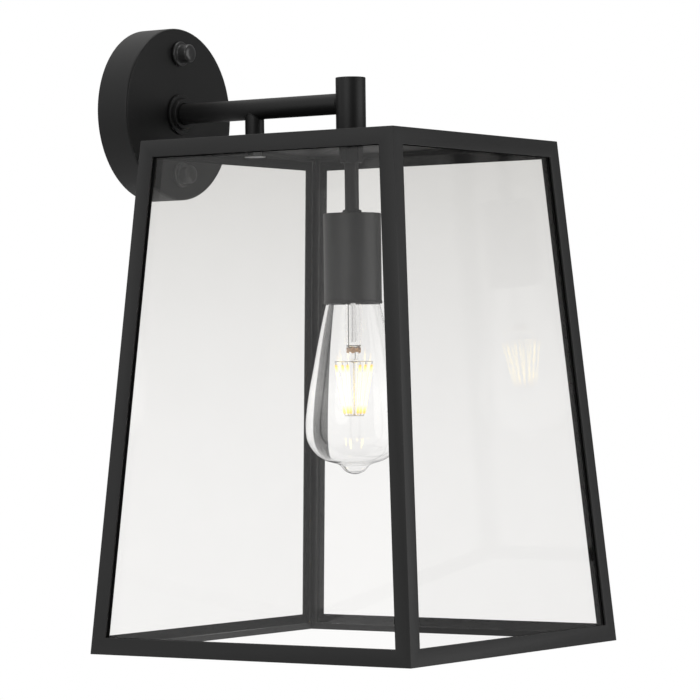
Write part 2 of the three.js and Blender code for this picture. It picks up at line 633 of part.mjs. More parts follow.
function buildBulb() {
  const neckR = CAP_R - CAP_T - GAP;
  const outer = bulbProfile();
  const inner = insetProfile(outer, GLASS_T).slice(2);
  const last = inner.length - 1;
  inner[last] = [neckR - GLASS_T, HOLDER_LOW_Z];
  const floorZ = inner[0][1];
  add('bulb_glass', closed(turnedUpright(
    [[0, BULB_TIP_Z], ...outer, ...inner.reverse(), [0, floorZ]], 32)), GLASS);

  const capTop = BULB_TOP_Z - 1.5;
  const shoulder = capTop - CAP_SHOULDER;
  const mouthR = TIP_CONTACT_R + GAP;
  add('bulb_cap', closed(turnedUpright([
    [mouthR, capTop], [mouthR + 1, capTop], [CAP_R, shoulder], [CAP_R, CAP_LOW_Z],
    [CAP_R - CAP_T, CAP_LOW_Z], [CAP_R - CAP_T, shoulder - CAP_T], [mouthR, capTop - 1], [mouthR, capTop],
  ], 28)), NICKEL);

  add('bulb_contact', closed(turnedUpright([
    [0, capTop - 1.5], [TIP_CONTACT_R, capTop - 1.5], [TIP_CONTACT_R, capTop + 0.3],
    [TIP_CONTACT_R * 0.6, BULB_TOP_Z], [0, BULB_TOP_Z],
  ], 20)), BRASS);

  const stemTop = CAP_LOW_Z + 2;
  add('bulb_stem', closed(turnedUpright([
    [0, STEM_LOW_Z], [2.4, STEM_LOW_Z + 0.6], [3, STEM_LOW_Z + 3], [3.2, STEM_LOW_Z + 5.5],
    [STEM_R * 0.85, STEM_LOW_Z + 7], [STEM_R, STEM_LOW_Z + 12], [STEM_R, stemTop - 10],
    [neckR - GLASS_T - GAP, stemTop - 2], [neckR - GLASS_T - GAP, stemTop], [0, stemTop],
  ], 20)), GLASS);

  // support: a hub with one spoke to each filament, a centre wire and a foot
  const spokeZ = STEM_LOW_Z - GAP - WIRE_R;
  const footZ = spokeZ - FILAMENT_DROP - FOOT_T - GAP;
  const hub = turnedUpright(disc(2, spokeZ - WIRE_R, spokeZ + WIRE_R), 12);
  const wire = turnedUpright(disc(WIRE_R, footZ, spokeZ), 8);
  const foot = turnedUpright(disc(FOOT_R, footZ, footZ + FOOT_T), 20);
  const spokes = [];
  for (let i = 0; i < FILAMENT_COUNT; i += 1) {
    const a = THREE.MathUtils.degToRad(FILAMENT_TURN + (360 * i) / FILAMENT_COUNT);
    spokes.push(new THREE.BoxGeometry(FILAMENT_TOP_R, WIRE_R * 2, WIRE_R * 2)
      .translate(FILAMENT_TOP_R / 2, 0, 0).rotateZ(a).translate(0, AXIS_Y, spokeZ));
  }
  add('filament_support', joined(hub, wire, foot, ...spokes), NICKEL);

  for (let i = 0; i < FILAMENT_COUNT; i += 1) {
    const a = THREE.MathUtils.degToRad(FILAMENT_TURN + (360 * i) / FILAMENT_COUNT);
    const topZ = spokeZ - WIRE_R - GAP;
    const lowZ = topZ - FILAMENT_DROP + 2 * GAP;
    const lean = new THREE.Matrix4().set(
      1, 0, (FILAMENT_TOP_R - FILAMENT_R - FILAMENT_LOW_R) / (topZ - lowZ), FILAMENT_LOW_R,
      0, 1, 0, 0,
      0, 0, 1, lowZ,
      0, 0, 0, 1,
    );
    const stick = new THREE.CylinderGeometry(FILAMENT_R, FILAMENT_R, topZ - lowZ, 8).rotateX(Math.PI / 2)
      .translate(0, 0, (topZ - lowZ) / 2).applyMatrix4(lean).rotateZ(a).translate(0, AXIS_Y, 0);
    add(`filament_${i + 1}`, closed(stick), PHOSPHOR);
  }
}

// ------------------------------------------------------------ the inside lead
// From the terminal block into the arm, down the post and through the rod.
function buildLead() {
  const blockFace = BLOCK_X - GAP;
  const leadY = -BLOCK_FROM_WALL - BLOCK_DEPTH / 2;
  const armMouth = INNER_FRONT_Y + ARM_TAIL;
  const bend = POST_R - POST_WALL;
  const route = new THREE.CatmullRomCurve3([
    new THREE.Vector3(blockFace, leadY, 0),
    new THREE.Vector3(blockFace - 5, leadY, 0),
    new THREE.Vector3(2.4, armMouth + 4.5, 0),
    new THREE.Vector3(0, armMouth - 3, 0),
    new THREE.Vector3(0, (armMouth + AXIS_Y) / 2, 0),
    new THREE.Vector3(0, AXIS_Y + bend + 4, 0),
    new THREE.Vector3(0, AXIS_Y + bend / 4, -bend / 4),
    new THREE.Vector3(0, AXIS_Y, -bend - 4),
    new THREE.Vector3(0, AXIS_Y, (TOP_Z + ROD_LOW_Z) / 2),
    new THREE.Vector3(0, AXIS_Y, HOLDER_CEILING_Z + GAP),
  ], false, 'centripetal');
  const section = new THREE.Shape();
  for (let i = 0; i < 8; i += 1) {
    const a = (i * Math.PI) / 4;
    if (i === 0) section.moveTo(LEAD_R, 0);
    else section.lineTo(LEAD_R * Math.cos(a), LEAD_R * Math.sin(a));
  }
  section.closePath();
  const skin = new THREE.ExtrudeGeometry(section, { steps: 60, extrudePath: route, bevelEnabled: false });
  add('lead', closed(skin), LEAD_SKIN);
}

buildCanopy();
buildBracket();
buildCapNut('cap_nut_upper', STUD_Z);
buildCapNut('cap_nut_lower', -STUD_Z);
buildTerminalBlock();
buildArm();
buildPost();
buildStrut();
buildFrame();
buildGlazing();
buildHanger();
buildBulb();
buildLead();

export default lantern;
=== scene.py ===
# %% [markdown]
# # An outdoor wall lantern
# A tapered, four-sided glazed lantern hangs from a short arm on a round wall
# canopy. Inside it a cup on a rod holds one filament bulb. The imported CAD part
# gives every size and place, and this script builds the surfaces people see:
# powder-coated steel, clear panes, blown glass and plated metal.

# %% Load the part
import math

import bmesh
import bpy
from mathutils import Matrix, Vector


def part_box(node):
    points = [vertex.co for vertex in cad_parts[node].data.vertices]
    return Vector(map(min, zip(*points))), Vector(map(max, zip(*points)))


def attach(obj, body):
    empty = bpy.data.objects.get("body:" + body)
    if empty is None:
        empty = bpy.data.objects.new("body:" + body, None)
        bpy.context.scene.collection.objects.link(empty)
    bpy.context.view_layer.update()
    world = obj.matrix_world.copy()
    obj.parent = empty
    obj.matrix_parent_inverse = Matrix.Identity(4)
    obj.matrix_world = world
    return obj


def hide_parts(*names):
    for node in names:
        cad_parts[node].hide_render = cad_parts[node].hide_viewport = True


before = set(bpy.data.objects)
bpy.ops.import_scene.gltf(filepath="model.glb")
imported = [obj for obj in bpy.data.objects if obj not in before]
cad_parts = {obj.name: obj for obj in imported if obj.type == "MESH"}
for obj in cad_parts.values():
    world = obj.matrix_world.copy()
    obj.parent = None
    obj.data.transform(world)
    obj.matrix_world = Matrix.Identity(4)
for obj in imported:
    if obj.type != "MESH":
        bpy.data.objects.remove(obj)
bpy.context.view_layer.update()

mm = 0.001

# %% [markdown]
# ## The camera
# A product picture like this is taken from far away with a long lens, so that
# upright edges stay nearly parallel. The camera stands off the lantern's left
# front corner, a little below its middle, and leans by less than a degree.

# %% Camera
LOOK_AT = Vector((0, -164, -190)) * mm
CAMERA_TURN = math.radians(-55.578)
CAMERA_RISE = math.radians(-0.481)
CAMERA_LEAN = math.radians(-0.678)
CAMERA_DISTANCE = 2281.28 * mm
CAMERA_ACROSS = 0.133 * mm
CAMERA_UP = 26.104 * mm
LENS = 176.673
SENSOR = 36.0


def place_camera():
    back = Vector((
        math.sin(CAMERA_TURN) * math.cos(CAMERA_RISE),
        -math.cos(CAMERA_TURN) * math.cos(CAMERA_RISE),
        math.sin(CAMERA_RISE),
    ))
    right = (-back).cross(Vector((0, 0, 1))).normalized()
    up = right.cross(-back)
    lean = Matrix.Rotation(CAMERA_LEAN, 3, back)
    right, up = lean @ right, lean @ up
    camera = bpy.data.objects.new("camera", bpy.data.cameras.new("camera"))
    camera.data.lens = LENS
    camera.data.sensor_width = SENSOR
    camera.data.clip_end = 50
    turned_to = Matrix((right, up, back)).transposed().to_4x4()
    spot = LOOK_AT + back * CAMERA_DISTANCE + right * CAMERA_ACROSS + up * CAMERA_UP
    camera.matrix_world = Matrix.Translation(spot) @ turned_to
    bpy.context.scene.collection.objects.link(camera)
    bpy.context.scene.camera = camera
    return camera


camera = place_camera()
print("camera", [round(c, 3) for c in camera.matrix_world.translation])

# %% [markdown]
# ## Sizes from the part
# Everything is measured on the CAD nodes, so the looks follow the part. The
# lantern's outside widens evenly from the top plate down to the bottom rails.

# %% Levels and half widths
def middle(node):
    """The middle of a node's box."""
    return [(low + high) / 2 for low, high in zip(*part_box(node))]


def half_width(node):
    low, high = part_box(node)
    return (high.x - low.x) / 2


def levels(node):
    """A node's lowest and highest point."""
    low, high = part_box(node)
    return low.z, high.z


def depths(node):
    """How far from the wall a node starts and ends."""
    low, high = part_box(node)
    return -high.y, -low.y


axis_y = middle("threaded_rod")[1]
plate_low_z, top_z = levels("top_plate")
bottom_z, rail_top_z = levels("bottom_rail_front")
top_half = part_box("top_plate")[1].x
bottom_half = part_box("corner_post_front_right")[1].x
leg = rail_top_z - bottom_z
wall = 1.8 * mm
gap = 0.3 * mm


def half_at(z):
    """Half the lantern's outside width at a height."""
    return top_half + (top_z - z) * (bottom_half - top_half) / (top_z - bottom_z)


print(f"lantern {2000 * bottom_half:.0f} mm wide, {1000 * (top_z - bottom_z):.1f} mm high")

# %% [markdown]
# ## Sums in a tree of nodes
# A node tree is easier to read as arithmetic. `Sum` wraps one socket, and each
# operator on it adds a Math node. `Graph` has a single method, `node`, for
# every other kind of node: settings go in first, then values or links for its
# sockets. `Finish` is a graph that holds one material.

# %% Node arithmetic
def operator(operation, reflected=False):
    """A method that adds one Math node."""
    def method(self, *others):
        terms = (*others, self) if reflected else (self, *others)
        return self.graph.node("ShaderNodeMath", {"operation": operation}, dict(enumerate(terms)))
    return method


class Sum:
    """A socket that Python can do sums with."""

    def __init__(self, graph, socket):
        self.graph, self.socket = graph, socket

    def held(self):
        """The same number kept between 0 and 1."""
        return self.graph.node("ShaderNodeClamp", {}, {"Value": self})

    __add__ = __radd__ = operator("ADD")
    __mul__ = __rmul__ = operator("MULTIPLY")
    __sub__, __rsub__ = operator("SUBTRACT"), operator("SUBTRACT", reflected=True)
    __truediv__, __pow__ = operator("DIVIDE"), operator("POWER")
    __abs__, sine = operator("ABSOLUTE"), operator("SINE")


class Graph:
    """A tree of nodes, for a material, a shape or the room."""

    def __init__(self, tree):
        self.tree = tree
        tree.nodes.clear()

    def node(self, kind, settings, sockets, output=0):
        made = self.tree.nodes.new(kind)
        for name, value in settings.items():
            setattr(made, name, value)
        for name, value in sockets.items():
            if isinstance(value, Sum):
                self.tree.links.new(value.socket, made.inputs[name])
            else:
                made.inputs[name].default_value = value
        return Sum(self, made.outputs[output]) if made.outputs else None


class Finish(Graph):
    """One procedural material and the part's slot that it fills."""

    def __init__(self, name, slot):
        self.slot = slot
        self.material = bpy.data.materials.new(name)
        self.material.use_nodes = True
        super().__init__(self.material.node_tree)

    def place(self):
        return self.node("ShaderNodeTexCoord", {}, {}, "Object")

    def noise(self, scale, detail=2.0, roughness=0.5):
        return self.node("ShaderNodeTexNoise", {}, {
            "Vector": self.place(), "Scale": scale, "Detail": detail, "Roughness": roughness})

    def height(self):
        return self.node("ShaderNodeSeparateXYZ", {}, {"Vector": self.place()}, "Z")

    def blend(self, share, first, second):
        sockets = {0: share, 6: first, 7: second}
        return self.node("ShaderNodeMix", {"data_type": "RGBA"}, sockets, 2)

    def bump(self, height, strength, depth):
        sockets = {"Height": height, "Strength": strength, "Distance": depth}
        return self.node("ShaderNodeBump", {}, sockets)

    def facing_up(self):
        """How far a surface faces the sky, from 0 to 1."""
        normal = self.node("ShaderNodeNewGeometry", {}, {}, "Normal")
        return self.node("ShaderNodeSeparateXYZ", {}, {"Vector": normal}, "Z").held()

    def principled(self, **sockets):
        names = {name.replace("_", " "): value for name, value in sockets.items()}
        return self.node("ShaderNodeBsdfPrincipled", {}, names)

    def covered_with(self, shader):
        self.node("ShaderNodeOutputMaterial", {}, {"Surface": shader})
        return self


def tone(level, warm=0.0):
    """A near-grey colour; warm adds red and takes blue away."""
    return (level * (1 + warm), level, level * (1 - warm), 1)


print("shader helpers ready")

# %% [markdown]
# ## Powder coat
# The steel is sprayed with dry paint that melts into a satin skin. Close up it
# has a fine pebbled surface, called orange peel, and a little dust settles on
# whatever faces up. A bump map gives the peel; slow noise changes the colour
# and the shine from place to place. The wall mount's coat is a darker copy
# of the same black, which is painted shade. The cap nuts' coat is glossier and
# also lighter, and the lighter colour is a painted highlight.

# %% Powder coats
def powder_coat(name, slot, low, high, roughness, specular):
    coat = Finish(name, slot)
    peel = coat.noise(2400, 2.0, 0.5)
    grit = coat.noise(5200, 1.0)
    cloud = coat.noise(11, 3.0)
    dust = (coat.facing_up() ** 3) * coat.noise(160, 4.0, 0.6)
    colour = coat.blend((cloud * 0.9 + peel * 0.1).held(), tone(low), tone(high))
    dusty = coat.blend((dust * 0.35).held(), colour, tone(0.11, 0.05))
    return coat.covered_with(coat.principled(
        Base_Color=dusty,
        Roughness=(roughness + (cloud - 0.5) * 0.12 + (grit - 0.5) * 0.1 + dust * 0.2).held(),
        Specular_IOR_Level=specular,
        Normal=coat.bump(peel * 0.75 + grit * 0.25, 0.08, 0.00002),
    ))


black_coat = powder_coat("black_powder_coat", "black_powder_coat", 0.0085, 0.014, 0.5, 0.35)
grey_coat = powder_coat("dark_grey_paint", "dark_grey_paint", 0.02, 0.029, 0.42, 0.4)
# Painted shade: the wall mount's coat is a darker copy of the black coat.
shaded_mount_coat = powder_coat("wall_mount_coat", "black_powder_coat", 0.004, 0.007, 0.46, 0.34)
# Painted highlight: the cap nuts' coat is a lighter copy of the black; its lower roughness is real
# gloss.
lit_nut_coat = powder_coat("cap_nut_coat", "black_powder_coat", 0.02, 0.03, 0.3, 0.6)
coats = (black_coat, grey_coat, shaded_mount_coat, lit_nut_coat)
print("coats:", ", ".join(coat.material.name for coat in coats))

# %% [markdown]
# ## Plated metals
# Zinc plating is cool grey with a faint crystal pattern. Nickel on the bulb's
# cap is brighter, and brass is warm and dulls in patches. All three are full
# metals: only the colour, the roughness and a fine scratch pattern change. The
# copper coating is for the seal inside the bulb.

# %% Plated metals
def plated(name, slot, bright, dull, roughness, scratch):
    metal = Finish(name, slot)
    cells = metal.node("ShaderNodeTexVoronoi", {}, {"Vector": metal.place(), "Scale": 700})
    patches = metal.noise(90, 4.0, 0.6)
    fine = metal.noise(3800, 2.0)
    return metal.covered_with(metal.principled(
        Base_Color=metal.blend((patches * 0.7 + cells * 0.3).held(), bright, dull),
        Metallic=1.0,
        Roughness=(roughness + (patches - 0.5) * 0.2 + (cells - 0.4) * 0.08).held(),
        Normal=metal.bump(fine, scratch, 0.00005),
    ))


zinc = plated("zinc_plate", "zinc_plate", tone(0.66, -0.02), tone(0.42, 0.01), 0.32, 0.25)
nickel = plated("nickel", "nickel", tone(0.74, 0.03), tone(0.56, 0.04), 0.24, 0.15)
brass = plated("brass", "brass", (0.71, 0.5, 0.2, 1), (0.45, 0.3, 0.12, 1), 0.3, 0.2)
copper = plated("copper", "brass", (0.62, 0.42, 0.28, 1), (0.3, 0.18, 0.1, 1), 0.35, 0.8)
print("metals:", ", ".join(metal.material.name for metal in (zinc, nickel, brass, copper)))

# %% [markdown]
# ## Window glass
# A flat pane bends light too little to see, so it is a mix: mostly clear, and
# shiny where it is seen at a slant. The mix follows Schlick's rule, a little
# of the light face on and all of it edge on. A grey veil of painted shade,
# deeper towards the top, greys what lies behind.

# %% Window glass
def window_glass():
    glass = Finish("window_glass", "window_glass")
    slant = glass.node("ShaderNodeLayerWeight", {}, {"Blend": 0.5}, "Facing")
    ripple = glass.bump(glass.noise(9, 1.0), 0.02, 0.002)
    mirror = glass.node("ShaderNodeBsdfGlossy", {}, {
        "Color": (1, 1, 1, 1), "Roughness": 0.0, "Normal": ripple})
    clear = glass.node("ShaderNodeBsdfTransparent", {}, {"Color": (1.0, 0.998, 0.995, 1)})
    shade_tint = glass.node("ShaderNodeBsdfTransparent", {}, {"Color": (0.922, 0.919, 0.912, 1)})
    # Painted shade: a grey veil over what lies behind the pane, deeper towards the top, with slow
    # noise in it.
    rise = ((glass.height() - bottom_z) / (top_z - bottom_z)).held()
    shade_noise = glass.noise(35, 4.0, 0.6)
    painted_shade_veil = (0.06 + (rise ** 2.6) * 1.05 + (shade_noise - 0.5) * 0.12).held()
    shine = (0.03 + (slant ** 5) * 0.9).held()
    veiled_by_shade = glass.node("ShaderNodeMixShader", {}, {0: painted_shade_veil, 1: clear, 2: shade_tint})
    pane = glass.node("ShaderNodeMixShader", {}, {0: shine, 1: veiled_by_shade, 2: mirror})
    return glass.covered_with(pane)


pane_glass = window_glass()
print("glass:", pane_glass.material.name)

# %% [markdown]
# ## Blown glass
# The bulb is thin clear glass with an inner and an outer surface, so light
# really bends through it and its edge darkens and flashes on its own. Faint
# waves in the normal are the marks of blowing. The glass also has a little
# emission beside the filaments, where their light is strongest: painted light.

# %% Blown glass
def blown_glass(name, wave, painted_glow=0.0):
    glass = Finish(name, "bulb_clear_glass")
    brightest, reach = 14 * mm, 52 * mm
    # Painted light: emission in the glass, strongest beside the filaments, stands in for their
    # light.
    away = abs(glass.height() - levels("filament_1")[0] - brightest) / reach
    painted_glow_colour = (painted_glow, painted_glow, painted_glow * 0.97, 1)
    return glass.covered_with(glass.principled(
        Base_Color=(1, 1, 1, 1),
        Roughness=0.0,
        IOR=1.47,
        Transmission_Weight=1.0,
        Normal=glass.bump(glass.noise(60, 1.0), wave, 0.0006),
        Emission_Color=glass.blend((1 - away).held() ** 2, (0, 0, 0, 1), painted_glow_colour),
        Emission_Strength=1.0,
    ))


bulb_clear = blown_glass("bulb_clear_glass", 0.04, 0.03)
stem_clear = blown_glass("stem_clear_glass", 0.08)
print("glass:", bulb_clear.material.name, stem_clear.material.name)

# %% [markdown]
# ## Rubber, foam and mouldings
# These pieces sit in shadow or behind the canopy, but each still gets its own
# surface: matt rubber, open foam, speckled phenolic and waxy nylon.

# %% Mouldings
def moulded(name, slot, first, second, roughness, scale, depth, specular=0.5):
    stuff = Finish(name, slot)
    grain = stuff.noise(scale, 3.0, 0.6)
    pores = stuff.node("ShaderNodeTexVoronoi", {}, {
        "Vector": stuff.place(), "Scale": scale * 0.8})
    return stuff.covered_with(stuff.principled(
        Base_Color=stuff.blend(grain, first, second),
        Roughness=(roughness + (grain - 0.5) * 0.15).held(),
        Specular_IOR_Level=specular,
        Normal=stuff.bump(grain * 0.5 + pores * 0.5, 0.4, depth),
    ))


# dark grain, light grain, roughness, grains per metre, depth of the grain, gloss
MOULDINGS = {
    "glazing_rubber": (tone(0.002), tone(0.004), 0.8, 1800, 0.0001, 0.1),
    "foam": (tone(0.012), tone(0.03), 0.95, 900, 0.0006),
    "phenolic": (tone(0.008, 0.2), tone(0.02, 0.3), 0.42, 1500, 0.00008),
    "nylon": (tone(0.62, 0.03), tone(0.74, 0.04), 0.5, 700, 0.00008),
    "lead_sheath": (tone(0.01), tone(0.016), 0.6, 1600, 0.00006),
}
rubber, foam, phenolic, nylon, lead_sheath = (
    moulded(name, name, *values) for name, values in MOULDINGS.items())
print("mouldings ready")

# %% [markdown]
# ## Glowing filaments
# An LED filament is a strip of tiny lamps under a yellow phosphor jacket. Lit,
# its middle burns almost white and the yellow shows at both ends.

# %% Filament phosphor
stick_low_z, stick_top_z = levels("filament_1")


def phosphor():
    jacket = Finish("filament_phosphor", "filament_phosphor")
    along = (jacket.height() - stick_low_z) / (stick_top_z - stick_low_z)
    ends = ((abs(along * 2 - 1) - 0.62) / 0.24).held()
    beads = jacket.noise(1500, 2.0)
    return jacket.covered_with(jacket.principled(
        Base_Color=jacket.blend(beads, (0.85, 0.55, 0.15, 1), (0.95, 0.7, 0.25, 1)),
        Roughness=0.55,
        Emission_Color=jacket.blend(ends, (1.0, 0.82, 0.23, 1), (0.22, 0.13, 0.025, 1)),
        Emission_Strength=3.8,
        Normal=jacket.bump(beads, 0.5, 0.0002),
    ))


glow = phosphor()
print("filament:", glow.material.name)

# %% [markdown]
# ## Turned shapes
# Most metalwork here is round. One helper turns a profile, a list of radius
# and height, about an axis, and closes its poles and seam. The profile may
# also be a rule that changes with the angle: that gives hexagon nuts and
# screw threads without any cutting. A second helper rounds a profile's
# corners, because no real edge is perfectly sharp.

# %% Turning helpers
AT_AXIS = 1e-7


def turned(profile, sides):
    """A closed bmesh, turned about Z. Profiles that end where they start make rings."""
    shape = bmesh.new()
    poles, columns = {}, []
    for s in range(sides):
        angle = 2 * math.pi * s / sides
        column = []
        for k, (r, h) in enumerate(profile(angle) if callable(profile) else profile):
            if r < AT_AXIS:
                poles[k] = poles.get(k) or shape.verts.new((0, 0, h))
                column.append(poles[k])
            else:
                column.append(shape.verts.new((r * math.cos(angle), r * math.sin(angle), h)))
        columns.append(column)
    for here, there in zip(columns, columns[1:] + columns[:1]):
        for k in range(len(here) - 1):
            corners = dict.fromkeys((here[k], there[k], there[k + 1], here[k + 1]))
            if len(corners) > 2:
                shape.faces.new(tuple(corners))
    bmesh.ops.remove_doubles(shape, verts=shape.verts, dist=AT_AXIS)
    bmesh.ops.recalc_face_normals(shape, faces=shape.faces)
    return shape


def softened(points, radius, steps=3):
    """The profile with its corners rounded. A profile that closes on itself stays closed."""
    ring = points[0] == points[-1]
    spots = [Vector(p) for p in (points[:-1] if ring else points)]
    result = []
    for i, b in enumerate(spots):
        if not ring and i in (0, len(spots) - 1):
            result.append(tuple(b))
            continue
        a, c = spots[i - 1], spots[(i + 1) % len(spots)]
        cut = min(radius, (a - b).length * 0.45, (c - b).length * 0.45)
        start, end = b + (a - b).normalized() * cut, b + (c - b).normalized() * cut
        for k in range(steps + 1):
            t = k / steps
            result.append(tuple(start * (1 - t) ** 2 + b * 2 * t * (1 - t) + end * t * t))
    return result + result[:1] if ring else result


def rod(radius, low, high):
    return [(0, low), (radius, low), (radius, high), (0, high)]


def tube(inner, outer, low, high):
    return [(inner, low), (outer, low), (outer, high), (inner, high), (inner, low)]


def upright(shape, x=0.0, y=None):
    """Stands a turned shape on the lantern's axis, or at x and y."""
    shape.transform(Matrix.Translation((x, axis_y if y is None else y, 0)))
    return shape


def lathed(profile, ease, sides, steps=3):
    """A profile with eased corners, turned on the lantern's axis."""
    return upright(turned(softened(profile, ease, steps), sides))


def out_of_wall(shape, z=0.0):
    """Lays a turned shape along the arm: its height becomes the distance from the wall."""
    shape.transform(Matrix.Translation((0, 0, z)) @ Matrix.Rotation(math.pi / 2, 4, "X"))
    bmesh.ops.recalc_face_normals(shape, faces=shape.faces)
    return shape


print("turning helpers ready")

# %% [markdown]
# ## Finishing a piece
# Each bmesh becomes one object at the origin, with its place in its mesh. Flat
# faces stay crisp and round ones shade smoothly, by marking the edges where
# the surface folds. The piece then rides on its body and stands for its CAD
# nodes.

# %% Finishing helpers
def plain_object(name, shape):
    mesh = bpy.data.meshes.new(name)
    shape.to_mesh(mesh)
    shape.free()
    thing = bpy.data.objects.new(name, mesh)
    bpy.context.scene.collection.objects.link(thing)
    return thing


def slab(width, depth, height, z):
    """A box on the axis, its middle at height z."""
    shape = bmesh.new()
    bmesh.ops.create_cube(shape, size=1.0, matrix=Matrix.Translation((0, 0, z))
                          @ Matrix.Diagonal((width, depth, height, 1)))
    return shape


def evaluated_mesh(thing):
    bpy.context.view_layer.update()
    graph = bpy.context.evaluated_depsgraph_get()
    return bpy.data.meshes.new_from_object(thing.evaluated_get(graph))


def carved(shape, *tools):
    """The shape with the room of the tools cut out of it."""
    block = plain_object("block", shape)
    cutters = [plain_object("cutter", tool) for tool in tools]
    for cutter in cutters:
        cut = block.modifiers.new("cut", "BOOLEAN")
        cut.operation, cut.solver, cut.object = "DIFFERENCE", "EXACT", cutter
    result = bmesh.new()
    result.from_mesh(evaluated_mesh(block))
    for spare in [block, *cutters]:
        bpy.data.objects.remove(spare)
    return result


def merged_copy(node):
    """A CAD node's own shape, merged back into whole faces."""
    shape = bmesh.new()
    shape.from_mesh(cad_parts[node].data)
    bmesh.ops.remove_doubles(shape, verts=shape.verts, dist=1e-6)
    bmesh.ops.dissolve_limit(shape, angle_limit=math.radians(1), verts=shape.verts,
                             edges=shape.edges)
    return shape


def bevelled(shape, width, fold=30, steps=2):
    sharp = [e for e in shape.edges if e.calc_face_angle(0) > math.radians(fold)]
    bmesh.ops.bevel(shape, geom=sharp, offset=width, segments=steps, profile=0.5,
                    affect="EDGES", clamp_overlap=True)
    return shape


def eased(node, width, fold=40, steps=2):
    """A CAD node's own shape with its edges eased."""
    return bevelled(merged_copy(node), width, fold, steps)


def settled(thing, finish, body, stands_for, fold=38):
    mesh = thing.data
    mesh.shade_smooth()
    mesh.set_sharp_from_angle(angle=math.radians(fold))
    if not mesh.materials:
        mesh.materials.append(finish.material)
    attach(thing, body)
    if stands_for:
        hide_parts(*stands_for)
    mesh.calc_loop_triangles()
    print(f"  {thing.name}: {len(mesh.loop_triangles)} triangles")
    return thing


def shown(name, shape, finish, stands_for=(), body="lantern"):
    return settled(plain_object(name, shape), finish, body, stands_for)


print("finishing helpers ready")

# %% [markdown]
# ## Nuts and threads
# A hexagon nut is a turned ring whose outer radius follows the six flats, with
# its corners taken down by a cone as on a real nut. A thread is a rod whose
# radius rises and falls once per pitch as the angle goes round.

# %% Nut and thread rules
def hexagon(bore, across, low, high, turn=0.0):
    """Both faces of a hexagon nut are chamfered at the corners."""
    flat = across / 2
    nip = 0.12 * (high - low)

    def profile(angle):
        wedge = (angle - turn) % (math.pi / 3) - math.pi / 6
        corner = flat / math.cos(wedge)
        drop = (corner - flat) * 0.6
        return [
            (bore + nip, low), (flat, low), (corner, low + drop), (corner, high - drop),
            (flat, high), (bore + nip, high), (bore, high - nip), (bore, low + nip),
            (bore + nip, low),
        ]
    return turned(profile, 96)


def thread_height(z, angle, pitch, rolled=False):
    """From 0 in the root to 1 on the crest of a screw thread."""
    phase = (z / pitch - angle / (2 * math.pi)) % 1.0
    wave = 1 - abs(2 * phase - 1)
    return 0.5 - 0.5 * math.cos(math.pi * wave) if rolled else wave


def threaded(outer, depth, pitch, low, high, bore=0.0, sides=32, spans=()):
    """A rod or tube with a thread. spans are the threaded heights; none means all of it."""
    steps = max(2, round((high - low) / pitch * 6))

    def profile(angle):
        side = []
        for k in range(steps + 1):
            z = low + (high - low) * k / steps
            cut = depth if not spans or any(a <= z <= b for a, b in spans) else 0.0
            fade = min(1.0, (z - low) / pitch, (high - z) / pitch)
            side.append((outer - cut * (1 - thread_height(z, angle, pitch) * fade), z))
        return [(bore, low)] + side + [(bore, high)] + ([(bore, low)] if bore else [])
    return turned(profile, sides)


print("nut and thread rules ready")

# %% [markdown]
# ## A bead along a seam
# Welds and painted fillets follow a path, so Geometry Nodes make them. The
# tree resamples the path, gives it a rippling radius, and sweeps a circle
# along it. Size, ripple, seed and material are named inputs.

# %% Bead tree
def recipe(name, inputs):
    """An empty Geometry Nodes tree with named inputs, and the sockets that they give."""
    tree = bpy.data.node_groups.new(name, "GeometryNodeTree")
    graph = Graph(tree)
    tree.interface.new_socket("Geometry", in_out="OUTPUT", socket_type="NodeSocketGeometry")
    inputs = {"Geometry": "Geometry", **inputs, "Material": "Material"}
    for label, kind in inputs.items():
        tree.interface.new_socket(label, in_out="INPUT", socket_type="NodeSocket" + kind)
    given = tree.nodes.new("NodeGroupInput").outputs
    return graph, [Sum(graph, given[label]) for label in inputs]


def given_out(graph, shape, material):
    """The tree's result: real geometry with its material on it."""
    real = graph.node("GeometryNodeRealizeInstances", {}, {"Geometry": shape})
    coated = graph.node("GeometryNodeSetMaterial", {}, {"Geometry": real, "Material": material})
    graph.node("NodeGroupOutput", {}, {"Geometry": coated})
    return graph.tree


def bead_tree():
    graph, (path, radius, ripple, pitch, seed, material) = recipe(
        "bead_along_path", {"Radius": "Float", "Ripple": "Float", "Pitch": "Float", "Seed": "Int"})
    line = graph.node("GeometryNodeMeshToCurve", {}, {"Mesh": path})
    fine = graph.node("GeometryNodeResampleCurve", {"mode": "LENGTH"}, {
        "Curve": line, "Length": pitch * 0.2})
    run = graph.node("GeometryNodeSplineParameter", {}, {}, "Length")
    wave = (run / pitch * (2 * math.pi)).sine()
    chance = graph.node("FunctionNodeRandomValue", {"data_type": "FLOAT"}, {
        2: -0.6, 3: 0.6, "Seed": seed}, 1)
    ring = graph.node("GeometryNodeCurvePrimitiveCircle", {"mode": "RADIUS"}, {
        "Resolution": 10, "Radius": 1.0})
    swept = graph.node("GeometryNodeCurveToMesh", {}, {
        "Curve": fine, "Profile Curve": ring, "Fill Caps": True,
        "Scale": ((wave + chance) * ripple + 1.0) * radius})
    return given_out(graph, swept, material)


def with_tree(thing, tree, **values):
    """Runs a tree on an object and keeps the result as its plain mesh."""
    nodes = thing.modifiers.new("nodes", "NODES")
    nodes.node_group = tree
    for item in tree.interface.items_tree:
        if item.in_out == "INPUT" and item.name in values:
            nodes[item.identifier] = values[item.name]
    mesh = evaluated_mesh(thing)
    thing.modifiers.clear()
    thing.data = mesh
    return thing


seam_bead = bead_tree()
print("tree:", seam_bead.name, len(seam_bead.nodes), "nodes")

